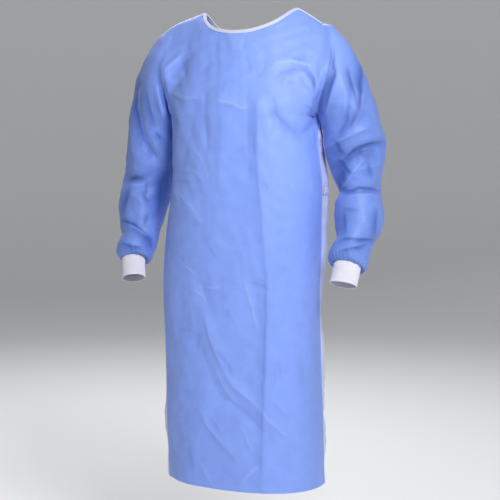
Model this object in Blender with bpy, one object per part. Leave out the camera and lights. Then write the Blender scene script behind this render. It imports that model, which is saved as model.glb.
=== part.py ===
"""Surgical gown, filled out as it is worn, with no wearer inside it.

Metres, +Z up. +X is the wearer's left, -Y is ahead of the wearer. The origin lies on the shoulder
line at the middle of the neck, where the wearer's shoulders hold the gown.
"""

import math

import bpy
import numpy as np
from mathutils.bvhtree import BVHTree

# Driving sizes
CLOTH = 0.0015
KNIT = 0.002
SEAM_GAP = 0.0004
LYING_GAP = 0.0005
HEM_HEIGHT = -1.157
HEM_TILT = -0.038
UNDERARM_HEIGHT = -0.258
BINDING_WIDTH = 0.008
BINDING_CLOTH = 0.0010
TIE_WIDTH = 0.018
TIE_CLOTH = 0.0012
TIE_LIFT = 0.0014
TAB_WIDTH = 0.022
KNOT_SIZE = (0.032, 0.026, 0.010)
KNOT_GAP = 0.0004
BACK_OVERLAP_DEG = 19.0
OVERLAP_LIFT = 0.0065
OVERLAP_RAMP_DEG = 7.0
SHOULDER_BOW = 0.002

# How finely the walls are divided
BODY_ROWS = 22
YOKE_ROWS = 9
SHOULDER_COLUMNS = 4
FRONT_NECK_COLUMNS = 17
BACK_NECK_COLUMNS = 9
SLEEVE_CAP_ROWS = 6
SLEEVE_TUBE_ROWS = 17
SLEEVE_END_SHARES = (0.88, 0.92, 0.95, 0.975, 1.00)
CUFF_ROWS = 3
TIE_STATIONS = 56
TAB_STATIONS = 14

# The viewpoint that folds are placed from: ahead of the wearer and to the wearer's left
VIEW_AZIMUTH_DEG = 20.0
VIEW_DISTANCE = 4.0
VIEW_HEIGHT = -0.22

# Level sections of the body, from hem to underarm
BODY_COLUMNS = ("height", "middle_x", "middle_y", "half_width", "front", "back", "squareness")
BODY_SECTIONS = (
    (-1.175, -0.006, 0.000, 0.197, 0.165, 0.150, 2.3),
    (-1.000, -0.012, 0.000, 0.199, 0.165, 0.155, 2.3),
    (-0.850, -0.016, 0.000, 0.198, 0.160, 0.160, 2.3),
    (-0.700, -0.019, 0.000, 0.199, 0.160, 0.160, 2.3),
    (-0.600, -0.012, 0.000, 0.200, 0.160, 0.145, 2.3),
    (-0.500, -0.005, 0.000, 0.197, 0.158, 0.125, 2.3),
    (-0.420, 0.001, 0.000, 0.193, 0.154, 0.120, 2.3),
    (-0.340, -0.004, 0.000, 0.188, 0.149, 0.121, 2.3),
    (-0.258, -0.010, 0.000, 0.186, 0.142, 0.125, 2.3),
)

# Where the side seams stand round the body, measured from the wearer's left
SEAM_COLUMNS = ("height", "left_deg", "right_deg")
SIDE_SEAMS = (
    (-1.175, 5.0, 212.0),
    (-0.900, 3.0, 213.0),
    (-0.720, 1.0, 210.0),
    (-0.620, -2.0, 202.0),
    (-0.450, -6.0, 190.0),
    (-0.340, -6.0, 183.0),
    (-0.258, 0.0, 180.0),
)

# Top edge of the front, from the wearer's right shoulder to the left, with the way the cloth arrives
TOP_COLUMNS = ("share", "x", "y", "z", "along_x", "along_y", "along_z")
FRONT_TOP = (
    (0.000, -0.200, 0.010, -0.036, 0.00, 0.15, 0.02),
    (0.170, -0.120, 0.004, -0.009, 0.05, 0.12, 0.05),
    (0.230, -0.101, -0.030, -0.029, 0.09, 0.08, 0.08),
    (0.300, -0.076, -0.053, -0.045, 0.07, 0.08, 0.10),
    (0.400, -0.035, -0.072, -0.054, 0.03, 0.07, 0.13),
    (0.500, 0.006, -0.079, -0.055, 0.00, 0.06, 0.14),
    (0.600, 0.045, -0.072, -0.048, -0.03, 0.07, 0.13),
    (0.680, 0.083, -0.050, -0.031, -0.07, 0.08, 0.10),
    (0.750, 0.112, -0.010, -0.005, -0.09, 0.09, 0.07),
    (0.775, 0.119, 0.001, -0.001, -0.06, 0.12, 0.05),
    (0.830, 0.147, 0.016, -0.016, -0.01, 0.15, 0.01),
    (0.890, 0.178, 0.026, -0.038, 0.00, 0.15, -0.01),
    (1.000, 0.206, 0.012, -0.043, 0.00, 0.15, 0.02),
)
RIGHT_NECK_SHARE = 0.17
LEFT_NECK_SHARE = 0.89

# Top edge of the back, from the wearer's left shoulder to the right
BACK_TOP = (
    (0.000, 0.206, 0.012, -0.043, 0.00, -0.12, 0.03),
    (0.110, 0.178, 0.026, -0.038, 0.00, -0.10, 0.08),
    (0.220, 0.165, 0.072, -0.064, -0.01, -0.04, 0.13),
    (0.340, 0.105, 0.098, -0.076, -0.01, -0.02, 0.14),
    (0.480, 0.020, 0.104, -0.072, 0.00, -0.02, 0.14),
    (0.600, -0.045, 0.096, -0.065, 0.00, -0.03, 0.14),
    (0.720, -0.100, 0.058, -0.045, 0.03, -0.07, 0.11),
    (0.830, -0.120, 0.004, -0.009, 0.04, -0.12, 0.05),
    (1.000, -0.200, 0.010, -0.036, 0.00, -0.12, 0.03),
)
BACK_LEFT_NECK_SHARE = 0.11
BACK_RIGHT_NECK_SHARE = 0.83

# Armholes, from the underarm up the front to the tip of the shoulder, then down the back
ARMHOLE_COLUMNS = ("share", "x", "y", "z")
LEFT_ARMHOLE = (
    (0.00, 0.176, 0.000, -0.258),
    (0.12, 0.183, -0.038, -0.243),
    (0.25, 0.204, -0.066, -0.195),
    (0.38, 0.225, -0.058, -0.126),
    (0.50, 0.206, 0.012, -0.043),
    (0.62, 0.220, 0.068, -0.124),
    (0.75, 0.204, 0.076, -0.193),
    (0.88, 0.184, 0.046, -0.242),
    (1.00, 0.176, 0.000, -0.258),
)
RIGHT_ARMHOLE = (
    (0.00, -0.196, 0.000, -0.258),
    (0.12, -0.199, -0.038, -0.243),
    (0.25, -0.205, -0.066, -0.195),
    (0.38, -0.207, -0.060, -0.124),
    (0.50, -0.200, 0.010, -0.036),
    (0.62, -0.206, 0.068, -0.124),
    (0.75, -0.205, 0.076, -0.193),
    (0.88, -0.200, 0.046, -0.242),
    (1.00, -0.196, 0.000, -0.258),
)

# Which way each sleeve's cloth leaves its armhole, over the top and under the arm
LEAVE_COLUMNS = ("side", "top_x", "top_z", "under_x", "under_z", "length")
SLEEVE_LEAVES = (
    ("left", 0.80, -0.60, 0.30, -0.95, 0.85),
    ("right", -0.92, -0.40, -0.30, -0.95, 1.05),
)

# Rings of each sleeve below its cap. The droop is how far a ring's back sinks over the cuff.
SLEEVE_COLUMNS = ("share", "x", "y", "z", "half_width", "half_depth", "droop")
LEFT_SLEEVE = (
    (0.00, 0.2555, 0.020, -0.290, 0.0695, 0.072, 0.0),
    (0.14, 0.263, 0.026, -0.343, 0.074, 0.072, 0.0),
    (0.26, 0.268, 0.028, -0.395, 0.063, 0.067, 0.0),
    (0.38, 0.276, 0.024, -0.442, 0.048, 0.060, 0.0),
    (0.48, 0.277, 0.012, -0.480, 0.059, 0.063, 0.0),
    (0.62, 0.279, -0.010, -0.530, 0.057, 0.057, 0.0),
    (0.74, 0.277, -0.030, -0.566, 0.043, 0.052, 0.0),
    (0.84, 0.269, -0.044, -0.590, 0.049, 0.053, 0.004),
    (0.92, 0.269, -0.0525, -0.603, 0.047, 0.049, 0.017),
    (0.96, 0.268, -0.0550, -0.608, 0.041, 0.042, 0.015),
    (1.00, 0.268, -0.0570, -0.612, 0.034, 0.031, 0.0),
)
RIGHT_SLEEVE = (
    (0.00, -0.261, 0.020, -0.290, 0.0625, 0.072, 0.0),
    (0.14, -0.269, 0.026, -0.343, 0.0655, 0.072, 0.0),
    (0.26, -0.277, 0.028, -0.395, 0.065, 0.068, 0.0),
    (0.38, -0.286, 0.024, -0.442, 0.063, 0.062, 0.0),
    (0.48, -0.292, 0.012, -0.485, 0.062, 0.062, 0.0),
    (0.60, -0.289, -0.010, -0.525, 0.055, 0.056, 0.0),
    (0.72, -0.280, -0.034, -0.568, 0.044, 0.050, 0.0),
    (0.84, -0.287, -0.050, -0.594, 0.047, 0.051, 0.002),
    (0.92, -0.287, -0.0565, -0.606, 0.043, 0.047, 0.010),
    (0.96, -0.287, -0.0590, -0.611, 0.038, 0.040, 0.009),
    (1.00, -0.287, -0.0610, -0.615, 0.030, 0.029, 0.0),
)
CUFF_COLUMNS = ("share", "x", "y", "z", "half_width", "half_depth")
LEFT_CUFF = (
    (0.0, 0.268, -0.057, -0.612, 0.034, 0.031),
    (0.5, 0.266, -0.068, -0.635, 0.034, 0.028),
    (1.0, 0.264, -0.078, -0.658, 0.034, 0.028),
)
RIGHT_CUFF = (
    (0.0, -0.287, -0.061, -0.615, 0.030, 0.029),
    (0.5, -0.282, -0.072, -0.638, 0.029, 0.027),
    (1.0, -0.277, -0.083, -0.661, 0.030, 0.027),
)

# What lies on the back: shares of the way from the left side seam to the right, and heights
PATH_COLUMNS = ("share", "height", "lift")
LEFT_TIE = (
    (0.03, -0.440, 0.0000),
    (0.20, -0.442, 0.0000),
    (0.40, -0.446, 0.0000),
    (0.475, -0.448, 0.0000),
    (0.510, -0.457, 0.0000),
    (0.522, -0.482, 0.0000),
    (0.528, -0.560, 0.0000),
    (0.540, -0.660, 0.0000),
)
RIGHT_TIE = (
    (0.97, -0.440, 0.0000),
    (0.80, -0.441, 0.0000),
    (0.68, -0.443, 0.0000),
    (0.64, -0.444, 0.0020),
    (0.60, -0.445, 0.0068),
    (0.55, -0.446, 0.0082),
    (0.515, -0.448, 0.0088),
    (0.480, -0.457, 0.0088),
    (0.468, -0.482, 0.0084),
    (0.462, -0.560, 0.0069),
    (0.445, -0.640, 0.0069),
)
KNOT_PLACE = (0.4975, -0.456)
NECK_TAB = (
    (0.535, -0.098, 0.0070),
    (0.600, -0.094, 0.0070),
    (0.624, -0.093, 0.0045),
    (0.650, -0.092, 0.0006),
    (0.690, -0.089, 0.0000),
)

# Broad folds, placed as the viewpoint sees them on an upright plate through the origin
FOLD_COLUMNS = ("piece", "height", "width", "path")
FRONT_FOLDS = (
    ("front", 0.0030, 0.016, ((0.017, -0.23), (0.015, -0.34), (0.044, -0.69), (0.035, -0.99), (0.03, -1.19))),
    ("front", 0.0060, 0.045, ((0.110, -0.17), (0.140, -0.23))),
    ("front", -0.0040, 0.016, ((0.060, -0.26), (0.099, -0.29), (0.136, -0.30), (0.165, -0.28))),
    ("front", -0.0035, 0.018, ((-0.010, -0.21), (-0.005, -0.40))),
    ("front", -0.0030, 0.014, ((-0.111, -0.21), (-0.106, -0.34))),
    ("front", 0.0030, 0.016, ((-0.074, -0.21), (-0.074, -0.41))),
    ("front", -0.0050, 0.014, ((-0.200, -0.16), (-0.148, -0.115))),
    ("front", -0.0050, 0.014, ((-0.205, -0.21), (-0.165, -0.155))),
    ("front", 0.0040, 0.020, ((-0.111, -0.76), (-0.069, -0.89), (-0.03, -0.94), (0.032, -1.00), (0.1, -1.06))),
    ("front", -0.0035, 0.018, ((-0.120, -0.84), (-0.080, -0.95), (0.000, -1.01), (0.060, -1.08))),
    ("front", 0.0035, 0.018, ((-0.124, -0.99), (-0.099, -1.04), (-0.037, -1.10))),
    ("front", 0.0030, 0.016, ((-0.195, -0.44), (-0.128, -0.52))),
    ("front", -0.0030, 0.016, ((-0.170, -0.62), (-0.124, -0.66), (-0.111, -0.72))),
    ("sleeve_left", 0.0060, 0.016, ((0.277, -0.205), (0.274, -0.25), (0.235, -0.30))),
    ("sleeve_left", -0.0060, 0.014, ((0.252, -0.19), (0.245, -0.25), (0.215, -0.30))),
    ("sleeve_left", 0.0060, 0.014, ((0.188, -0.34), (0.237, -0.31), (0.287, -0.29))),
    ("sleeve_left", -0.0090, 0.015, ((0.338, -0.32), (0.272, -0.34), (0.207, -0.39))),
    ("sleeve_left", 0.0040, 0.016, ((0.330, -0.38), (0.240, -0.40))),
    ("sleeve_left", -0.0050, 0.010, ((0.222, -0.45), (0.324, -0.44))),
    ("sleeve_left", -0.0040, 0.010, ((0.215, -0.575), (0.320, -0.565))),
    ("sleeve_right", -0.0090, 0.015, ((-0.269, -0.14), (-0.279, -0.245), (-0.259, -0.32), (-0.235, -0.355))),
    ("sleeve_right", 0.0060, 0.014, ((-0.223, -0.19), (-0.216, -0.26))),
    ("sleeve_right", -0.0070, 0.012, ((-0.311, -0.41), (-0.247, -0.41))),
    ("sleeve_right", 0.0050, 0.018, ((-0.290, -0.45), (-0.262, -0.48))),
    ("sleeve_right", -0.0050, 0.013, ((-0.326, -0.52), (-0.296, -0.52), (-0.259, -0.555), (-0.240, -0.58))),
)
BACK_FOLDS = (
    ("back", 0.0030, 0.018, ((-0.050, -0.25), (-0.045, -0.60), (-0.060, -1.16))),
    ("back", 0.0040, 0.022, ((0.090, -0.30), (0.095, -0.44), (0.060, -0.70), (0.075, -1.16))),
    ("back", -0.0040, 0.020, ((0.020, -0.62), (0.010, -0.90), (0.025, -1.16))),
    ("back", -0.0040, 0.018, ((-0.150, -0.40), (-0.090, -0.47), (0.060, -0.47), (0.140, -0.41))),
    ("back", -0.0035, 0.018, ((-0.120, -0.70), (-0.130, -1.16))),
    ("sleeve_left", -0.0070, 0.015, ((-0.330, -0.40), (-0.270, -0.36), (-0.220, -0.33))),
    ("sleeve_left", 0.0050, 0.014, ((-0.310, -0.34), (-0.240, -0.29))),
    ("sleeve_left", -0.0050, 0.013, ((-0.330, -0.55), (-0.250, -0.53))),
    ("sleeve_right", -0.0070, 0.015, ((0.330, -0.40), (0.270, -0.37), (0.220, -0.34))),
    ("sleeve_right", 0.0050, 0.014, ((0.310, -0.34), (0.240, -0.30))),
    ("sleeve_right", -0.0050, 0.013, ((0.330, -0.54), (0.250, -0.56))),
)

BLUE = (0.24, 0.38, 0.86, 1.0)
PALE = (0.52, 0.58, 0.86, 1.0)
WHITE = (0.86, 0.86, 0.92, 1.0)


def column(names, rows, name):
    """One named column of a table."""
    return np.array([row[names.index(name)] for row in rows], float)


def columns(names, rows, wanted):
    """Several named columns of a table, side by side."""
    return np.stack([column(names, rows, name) for name in wanted], axis=-1)


def cubic(keys, values, at):
    """A smooth curve through values at rising keys, read at the places in at."""
    keys, values, at = np.asarray(keys, float), np.asarray(values, float), np.asarray(at, float)
    slopes = np.gradient(values, keys, axis=0)
    i = np.clip(np.searchsorted(keys, at, side="right") - 1, 0, len(keys) - 2)
    step = keys[i + 1] - keys[i]
    s = (at - keys[i]) / step
    if values.ndim > 1:
        s, step = s[..., None], step[..., None]
    return hermite(s, values[i], values[i + 1], slopes[i] * step, slopes[i + 1] * step)


def hermite(s, start, end, leave, arrive):
    """The cubic from start to end that leaves and arrives along the given vectors."""
    return (
        (2 * s**3 - 3 * s**2 + 1) * start
        + (s**3 - 2 * s**2 + s) * leave
        + (3 * s**2 - 2 * s**3) * end
        + (s**3 - s**2) * arrive
    )


def ease(x):
    """0 below 0, 1 above 1 and smooth between."""
    x = np.clip(x, 0.0, 1.0)
    return x * x * (3 - 2 * x)


def unit(v):
    return v / np.maximum(np.linalg.norm(v, axis=-1, keepdims=True), 1e-12)


def soft(x, power):
    """A power of x's size that keeps its sign."""
    return np.sign(x) * np.abs(x) ** power


def body_point(angle_deg, height):
    """A point of the body's outside, at an angle from the wearer's left and a height."""
    angle_deg, height = np.broadcast_arrays(np.asarray(angle_deg, float), np.asarray(height, float))
    order = np.argsort(column(BODY_COLUMNS, BODY_SECTIONS, "height"))
    rows = [BODY_SECTIONS[i] for i in order]
    keys = column(BODY_COLUMNS, rows, "height")
    values = columns(BODY_COLUMNS, rows, BODY_COLUMNS[1:])
    mid_x, mid_y, half, front, back, square = np.moveaxis(cubic(keys, values, height), -1, 0)
    c, s = np.cos(np.radians(angle_deg)), np.sin(np.radians(angle_deg))
    depth = np.where(s < 0, front, back)
    x = mid_x + half * np.sign(c) * np.abs(c) ** (2 / square)
    y = mid_y + depth * np.sign(s) * np.abs(s) ** (2 / square)
    drop = ease((UNDERARM_HEIGHT - height) / (UNDERARM_HEIGHT - HEM_HEIGHT)) * HEM_TILT * x
    return np.stack([x, y, height + drop], axis=-1)


def seam_angle(name, height):
    keys = column(SEAM_COLUMNS, SIDE_SEAMS, "height")
    return cubic(keys, column(SEAM_COLUMNS, SIDE_SEAMS, name), height)


def normals_of(grid, round_the_end=False):
    """Outward normals of a grid of points, rows going up and columns going round."""
    up = np.gradient(grid, axis=0)
    if round_the_end:
        padded = np.concatenate([grid[:, -1:], grid, grid[:, :1]], axis=1)
        across = (padded[:, 2:] - padded[:, :-2]) / 2
    else:
        across = np.gradient(grid, axis=1)
    return unit(np.cross(across, up))


def trim(grid, edge, by):
    """Takes a grid's edge back along the cloth, to leave a seam's gap."""
    if edge == "first_column":
        grid[:, 0] += unit(grid[:, 1] - grid[:, 0]) * by
    elif edge == "last_column":
        grid[:, -1] += unit(grid[:, -2] - grid[:, -1]) * by
    elif edge == "first_row":
        grid[0] += unit(grid[1] - grid[0]) * by
    else:
        grid[-1] += unit(grid[-2] - grid[-1]) * by


def mitre(first, second):
    """Gives two meeting edges one direction of thickness, unless they face each other."""
    share = (first * second).sum(-1, keepdims=True) > 0.1
    both = unit(first + second)
    first[:] = np.where(share, both, first)
    second[:] = np.where(share, both, second)


def new_object(name, vertices, faces, colour, roughness):
    mesh = bpy.data.meshes.new(name)
    mesh.from_pydata([tuple(v) for v in vertices], [], [tuple(int(i) for i in f) for f in faces])
    mesh.update()
    mesh.shade_smooth()
    material = bpy.data.materials.get(colour[0]) or bpy.data.materials.new(colour[0])
    material.use_nodes = True
    shader = material.node_tree.nodes["Principled BSDF"]
    shader.inputs["Base Color"].default_value = colour[1]
    shader.inputs["Roughness"].default_value = roughness
    mesh.materials.append(material)
    obj = bpy.data.objects.new(name, mesh)
    bpy.context.scene.collection.objects.link(obj)
    return obj


def wall(name, grid, normals, thickness, colour, roughness=0.5, round_the_end=False):
    """A closed solid between a grid of outside points and the same points moved inwards."""
    rows, cols = grid.shape[:2]
    inside = grid - normals * thickness
    vertices = np.concatenate([grid.reshape(-1, 3), inside.reshape(-1, 3)])
    count = rows * cols
    faces = []
    for i in range(rows - 1):
        for j in range(cols if round_the_end else cols - 1):
            k = (j + 1) % cols
            a, b, c, d = i * cols + j, i * cols + k, (i + 1) * cols + k, (i + 1) * cols + j
            first = np.linalg.norm(vertices[a] - vertices[c])
            second = np.linalg.norm(vertices[b] - vertices[d])
            pair = ((a, b, c), (a, c, d)) if first <= second else ((a, b, d), (b, c, d))
            faces += pair
            faces += [tuple(count + corner for corner in reversed(t)) for t in pair]
    rims = []
    if not round_the_end:
        rims += [(i, 0, i + 1, 0) for i in range(rows - 1)]
        rims += [(i + 1, cols - 1, i, cols - 1) for i in range(rows - 1)]
    for j in range(cols if round_the_end else cols - 1):
        k = (j + 1) % cols
        rims += [(0, k, 0, j), (rows - 1, j, rows - 1, k)]
    for i0, j0, i1, j1 in rims:
        a, b = i0 * cols + j0, i1 * cols + j1
        faces += [(a, b, b + count), (a, b + count, a + count)]
    return new_object(name, vertices, faces, colour, roughness)


def armhole(rows, share):
    """Points of an armhole, by their share of the way round from the underarm."""
    keys = column(ARMHOLE_COLUMNS, rows, "share")
    points = columns(ARMHOLE_COLUMNS, rows, ("x", "y", "z"))
    keys = np.concatenate([[keys[-2] - 1], keys, [keys[1] + 1]])
    points = np.concatenate([points[-2:-1], points, points[1:2]])
    return cubic(keys, points, share)


def shoulder_seam(neck, tip, shares):
    """The seam from the neck to the tip of a shoulder, bowed upwards a little."""
    shares = shares[:, None]
    bow = np.array([0.0, 0.0, SHOULDER_BOW])
    return neck + (tip - neck) * shares + bow * 4 * shares * (1 - shares)


def top_edge(top_rows, shares, neck_shares):
    """The top edge of a panel, its shoulder ends on the seams that front and back share."""
    keys = column(TOP_COLUMNS, top_rows, "share")
    points = columns(TOP_COLUMNS, top_rows, ("x", "y", "z"))
    top = cubic(keys, points, shares)
    for tip, neck_share in ((0, neck_shares[0]), (-1, neck_shares[1])):
        neck = points[np.argmin(abs(keys - neck_share))]
        part = (shares - neck_share) / (keys[tip] - neck_share)
        on_seam = part >= -1e-9
        top[on_seam] = shoulder_seam(neck, points[tip], part[on_seam])
    return top


def yoke(top_rows, neck_shares, shares, angles, first_edge, last_edge, steps):
    """The body above the underarm: columns from the underarm level to the top edge.

    Its first and last columns follow the armholes, or stay free where an edge is None.
    """
    keys = column(TOP_COLUMNS, top_rows, "share")
    top = top_edge(top_rows, shares, neck_shares)
    arrive = cubic(keys, columns(TOP_COLUMNS, top_rows, ("along_x", "along_y", "along_z")), shares)
    foot = body_point(angles, UNDERARM_HEIGHT)
    leave = (foot - body_point(angles, UNDERARM_HEIGHT - 0.01)) / 0.01 * 0.2
    steps = steps[:, None, None]
    grid = hermite(steps, foot[None], top[None], leave[None], arrive[None])
    ends = [(0, first_edge, np.abs(shares - shares[0])), (-1, last_edge, np.abs(shares - shares[-1]))]
    moves = []
    for index, edge, away in ends:
        if edge is not None:
            reach = (1 - ease(away / 0.30))[None, :, None]
            moves.append(reach * (edge - grid[:, index])[:, None])
    return grid + sum(moves)


def yoke_steps():
    """Heights of the yoke's rows as shares, the last two a binding's width apart."""
    steps = np.linspace(0, 1, YOKE_ROWS + 1)
    return np.append(steps[:-1], [1 - BINDING_WIDTH / 0.15, 1.0])


def body_heights():
    return np.linspace(HEM_HEIGHT, UNDERARM_HEIGHT, BODY_ROWS + 1)


def front_grid():
    shares = np.concatenate(
        [
            np.linspace(0, RIGHT_NECK_SHARE, SHOULDER_COLUMNS + 1),
            np.linspace(RIGHT_NECK_SHARE, LEFT_NECK_SHARE, FRONT_NECK_COLUMNS + 1)[1:],
            np.linspace(LEFT_NECK_SHARE, 1, SHOULDER_COLUMNS + 1)[1:],
        ]
    )
    heights = body_heights()[:, None]
    right, left = seam_angle("right_deg", heights), seam_angle("left_deg", heights) + 360
    lower = body_point(right + (left - right) * shares[None], heights)
    steps = yoke_steps()
    upper = yoke(
        FRONT_TOP,
        (RIGHT_NECK_SHARE, LEFT_NECK_SHARE),
        shares,
        180 + 180 * shares,
        armhole(RIGHT_ARMHOLE, steps * 0.5),
        armhole(LEFT_ARMHOLE, steps * 0.5),
        steps,
    )
    return np.concatenate([lower[:-1], upper])


def back_shares(side):
    """Where a back panel's columns stand, as shares of the way from the left seam to the right."""
    reach = BACK_OVERLAP_DEG / 180
    if side == "left":
        seam_part = np.linspace(0, BACK_LEFT_NECK_SHARE, SHOULDER_COLUMNS + 1)
        neck_part = np.linspace(BACK_LEFT_NECK_SHARE, 0.5 + reach, BACK_NECK_COLUMNS + 1)
        return np.concatenate([seam_part, neck_part[1:]])
    seam_part = np.linspace(BACK_RIGHT_NECK_SHARE, 1, SHOULDER_COLUMNS + 1)
    neck_part = np.linspace(0.5 - reach, BACK_RIGHT_NECK_SHARE, BACK_NECK_COLUMNS + 1)
    return np.concatenate([neck_part, seam_part[1:]])


def back_grid(side):
    """Half of the back, from its side seam or its free edge, going round to the wearer's right."""
    middle = 0.5
    shares = back_shares(side)
    heights = body_heights()[:, None]
    left, right = seam_angle("left_deg", heights), seam_angle("right_deg", heights)
    first = (180 * shares)[None]
    near = np.where(shares < middle, left * (1 - shares / middle), (right - 180) * (shares / middle - 1))
    lower = body_point(first + near, heights)
    steps = yoke_steps()
    edges = [armhole(LEFT_ARMHOLE, 1 - steps * 0.5), None]
    if side == "right":
        edges = [None, armhole(RIGHT_ARMHOLE, 1 - steps * 0.5)]
    necks = (BACK_LEFT_NECK_SHARE, BACK_RIGHT_NECK_SHARE)
    upper = yoke(BACK_TOP, necks, shares, 180 * shares, edges[0], edges[1], steps)
    grid = np.concatenate([lower[:-1], upper])
    if side == "left":
        past = (180 * shares - (90 - BACK_OVERLAP_DEG - OVERLAP_RAMP_DEG)) / (OVERLAP_RAMP_DEG - 1)
        grid = grid + normals_of(grid) * (OVERLAP_LIFT * ease(past))[None, :, None]
    return grid


def ring_frame(path):
    """The ways out, ahead and along at each point of a path that runs down an arm."""
    along = unit(np.gradient(path, axis=0))
    sideways = np.array([1.0, 0.0, 0.0]) * np.sign(path[0, 0])
    out = unit(sideways - along * (along @ sideways)[:, None])
    ahead = np.cross(along, out)
    ahead = ahead * np.where(ahead[:, 1:2] < 0, 1, -1)
    return out, ahead, along


def tube(names, rows, samples, turns):
    """Rings of a tube through a table of sections, each ring read at the angles in turns."""
    keys = column(names, rows, "share")
    values = cubic(keys, columns(names, rows, names[1:]), samples)
    path, half_width, half_depth = values[:, :3], values[:, 3], values[:, 4]
    droop = values[:, 5] if "droop" in names else np.zeros(len(samples))
    fine = cubic(keys, columns(names, rows, names[1:4]), np.linspace(0, 1, 200))
    spots = np.clip((samples * 199).astype(int), 0, 199)
    out, ahead, along = (v[spots] for v in ring_frame(fine))
    c, s = np.cos(turns)[None, :, None], np.sin(turns)[None, :, None]
    grid = path[:, None] + out[:, None] * half_width[:, None, None] * c
    grid = grid + ahead[:, None] * half_depth[:, None, None] * s
    return grid + along[:, None] * droop[:, None, None] * ((1 - s) / 2) ** 0.7, along


def sleeve_turns(steps):
    """Angles round a sleeve that match the armhole's points: underarm, front, shoulder, back."""
    up_the_front = math.pi * (1 - steps)
    down_the_back = -math.pi * (1 - steps[::-1][1:-1])
    return np.concatenate([up_the_front, down_the_back])


def cuff_grid(side):
    """A cuff, its columns at the same turns as its sleeve's."""
    rows = LEFT_CUFF if side == "left" else RIGHT_CUFF
    return tube(CUFF_COLUMNS, rows, np.linspace(0, 1, CUFF_ROWS + 1), sleeve_turns(yoke_steps()))[0]


def sleeve_grid(side):
    """A sleeve from armhole to cuff, and where round the armhole each of its columns starts."""
    hole, rows = (LEFT_ARMHOLE, LEFT_SLEEVE) if side == "left" else (RIGHT_ARMHOLE, RIGHT_SLEEVE)
    steps = yoke_steps()
    shares = np.concatenate([steps * 0.5, 1 - steps[::-1][1:-1] * 0.5])
    start = armhole(hole, shares)
    turns = sleeve_turns(steps)
    samples = np.append(np.linspace(0, 0.84, SLEEVE_TUBE_ROWS + 1), SLEEVE_END_SHARES)
    rings, along = tube(SLEEVE_COLUMNS, rows, samples, turns)
    end = cuff_grid(side)[0]
    rings[-1] = end + unit(end - end.mean(axis=0)) * LYING_GAP
    _, top_x, top_z, under_x, under_z, stretch = next(row for row in SLEEVE_LEAVES if row[0] == side)
    over_the_top = unit(np.array([top_x, 0.0, top_z]))
    under_the_arm = unit(np.array([under_x, 0.0, under_z]))
    share_up = ((1 + np.cos(turns)) / 2)[:, None]
    leave = unit(under_the_arm * (1 - share_up) + over_the_top * share_up)
    length = np.linalg.norm(rings[0] - start, axis=1, keepdims=True) * stretch
    way_down = np.linspace(0, 1, SLEEVE_CAP_ROWS + 1)[:, None, None]
    cap = hermite(way_down, start[None], rings[0][None], (leave * length)[None], (along[0] * length)[None])
    grid = np.concatenate([cap[:-1], rings])
    if tube_faces_inwards(grid):
        return grid[:, ::-1].copy(), shares[::-1]
    return grid, shares


def plate(points, azimuth_deg):
    """Where the viewpoint sees points, on an upright plate through the origin that faces it."""
    turn = math.radians(azimuth_deg)
    right = np.array([math.cos(turn), math.sin(turn), 0.0])
    ahead = np.array([-math.sin(turn), math.cos(turn), 0.0])
    away = points @ ahead + VIEW_DISTANCE
    across = points @ right / away * VIEW_DISTANCE
    return np.stack([across, VIEW_HEIGHT + (points[..., 2] - VIEW_HEIGHT) / away * VIEW_DISTANCE], axis=-1)


def distance_to_path(points, path):
    """How far points of the plate lie from a line of straight lengths."""
    path = np.asarray(path, float)
    best = np.full(points.shape[:-1], np.inf)
    for start, end in zip(path[:-1], path[1:]):
        along = end - start
        share = np.clip(((points - start) @ along) / (along @ along), 0, 1)
        best = np.minimum(best, np.linalg.norm(points - start - share[..., None] * along, axis=-1))
    return best


def fold_heights(points, normals, piece, folds, azimuth_deg):
    """How far the folds of one side lift or sink each point that faces that side."""
    turn = math.radians(azimuth_deg)
    toward = np.array([math.sin(turn), -math.cos(turn), 0.0])
    facing = ease((normals @ toward) / 0.5)
    seen = plate(points, azimuth_deg)
    total = np.zeros(points.shape[:-1])
    for row in folds:
        if row[0] == piece:
            total += row[1] * np.exp(-((distance_to_path(seen, row[3]) / row[2]) ** 2))
    return total * facing


def folded(grid, piece, still, round_the_end=False):
    """A grid with its folds pressed in, its still edges left where they are."""
    normals = normals_of(grid, round_the_end)
    heights = fold_heights(grid, normals, piece, FRONT_FOLDS, VIEW_AZIMUTH_DEG)
    heights += fold_heights(grid, normals, piece, BACK_FOLDS, VIEW_AZIMUTH_DEG + 180)
    rows, cols = grid.shape[:2]
    i, j = np.arange(rows)[:, None], np.arange(cols)[None]
    away = {"first_row": i, "last_row": rows - 1 - i, "first_column": j, "last_column": cols - 1 - j}
    for edge in still:
        heights = heights * ease(away[edge] / 2.0)
    return grid + normals * heights[..., None]


def share_armhole_directions(side, shares, sleeve, front, back):
    """Gives sleeve and body one direction of thickness along the seam where they meet."""
    steps = yoke_steps()
    edge = -1 if side == "left" else 0
    back_edge = 0 if side == "left" else -1
    for j, share in enumerate(shares):
        row = BODY_ROWS + int(np.argmin(abs(steps - min(share, 1 - share) * 2)))
        meeting = []
        if share <= 0.5 + 1e-9:
            meeting.append(front[row : row + 1, edge])
        if share >= 0.5 - 1e-9 or share < 1e-9:
            meeting.append(back[row : row + 1, back_edge])
        panel = unit(sum(meeting))
        both = sleeve[0:1, j].copy()
        mitre(panel, both)
        sleeve[0:1, j] = both
        for view in meeting:
            view[:] = panel


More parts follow.
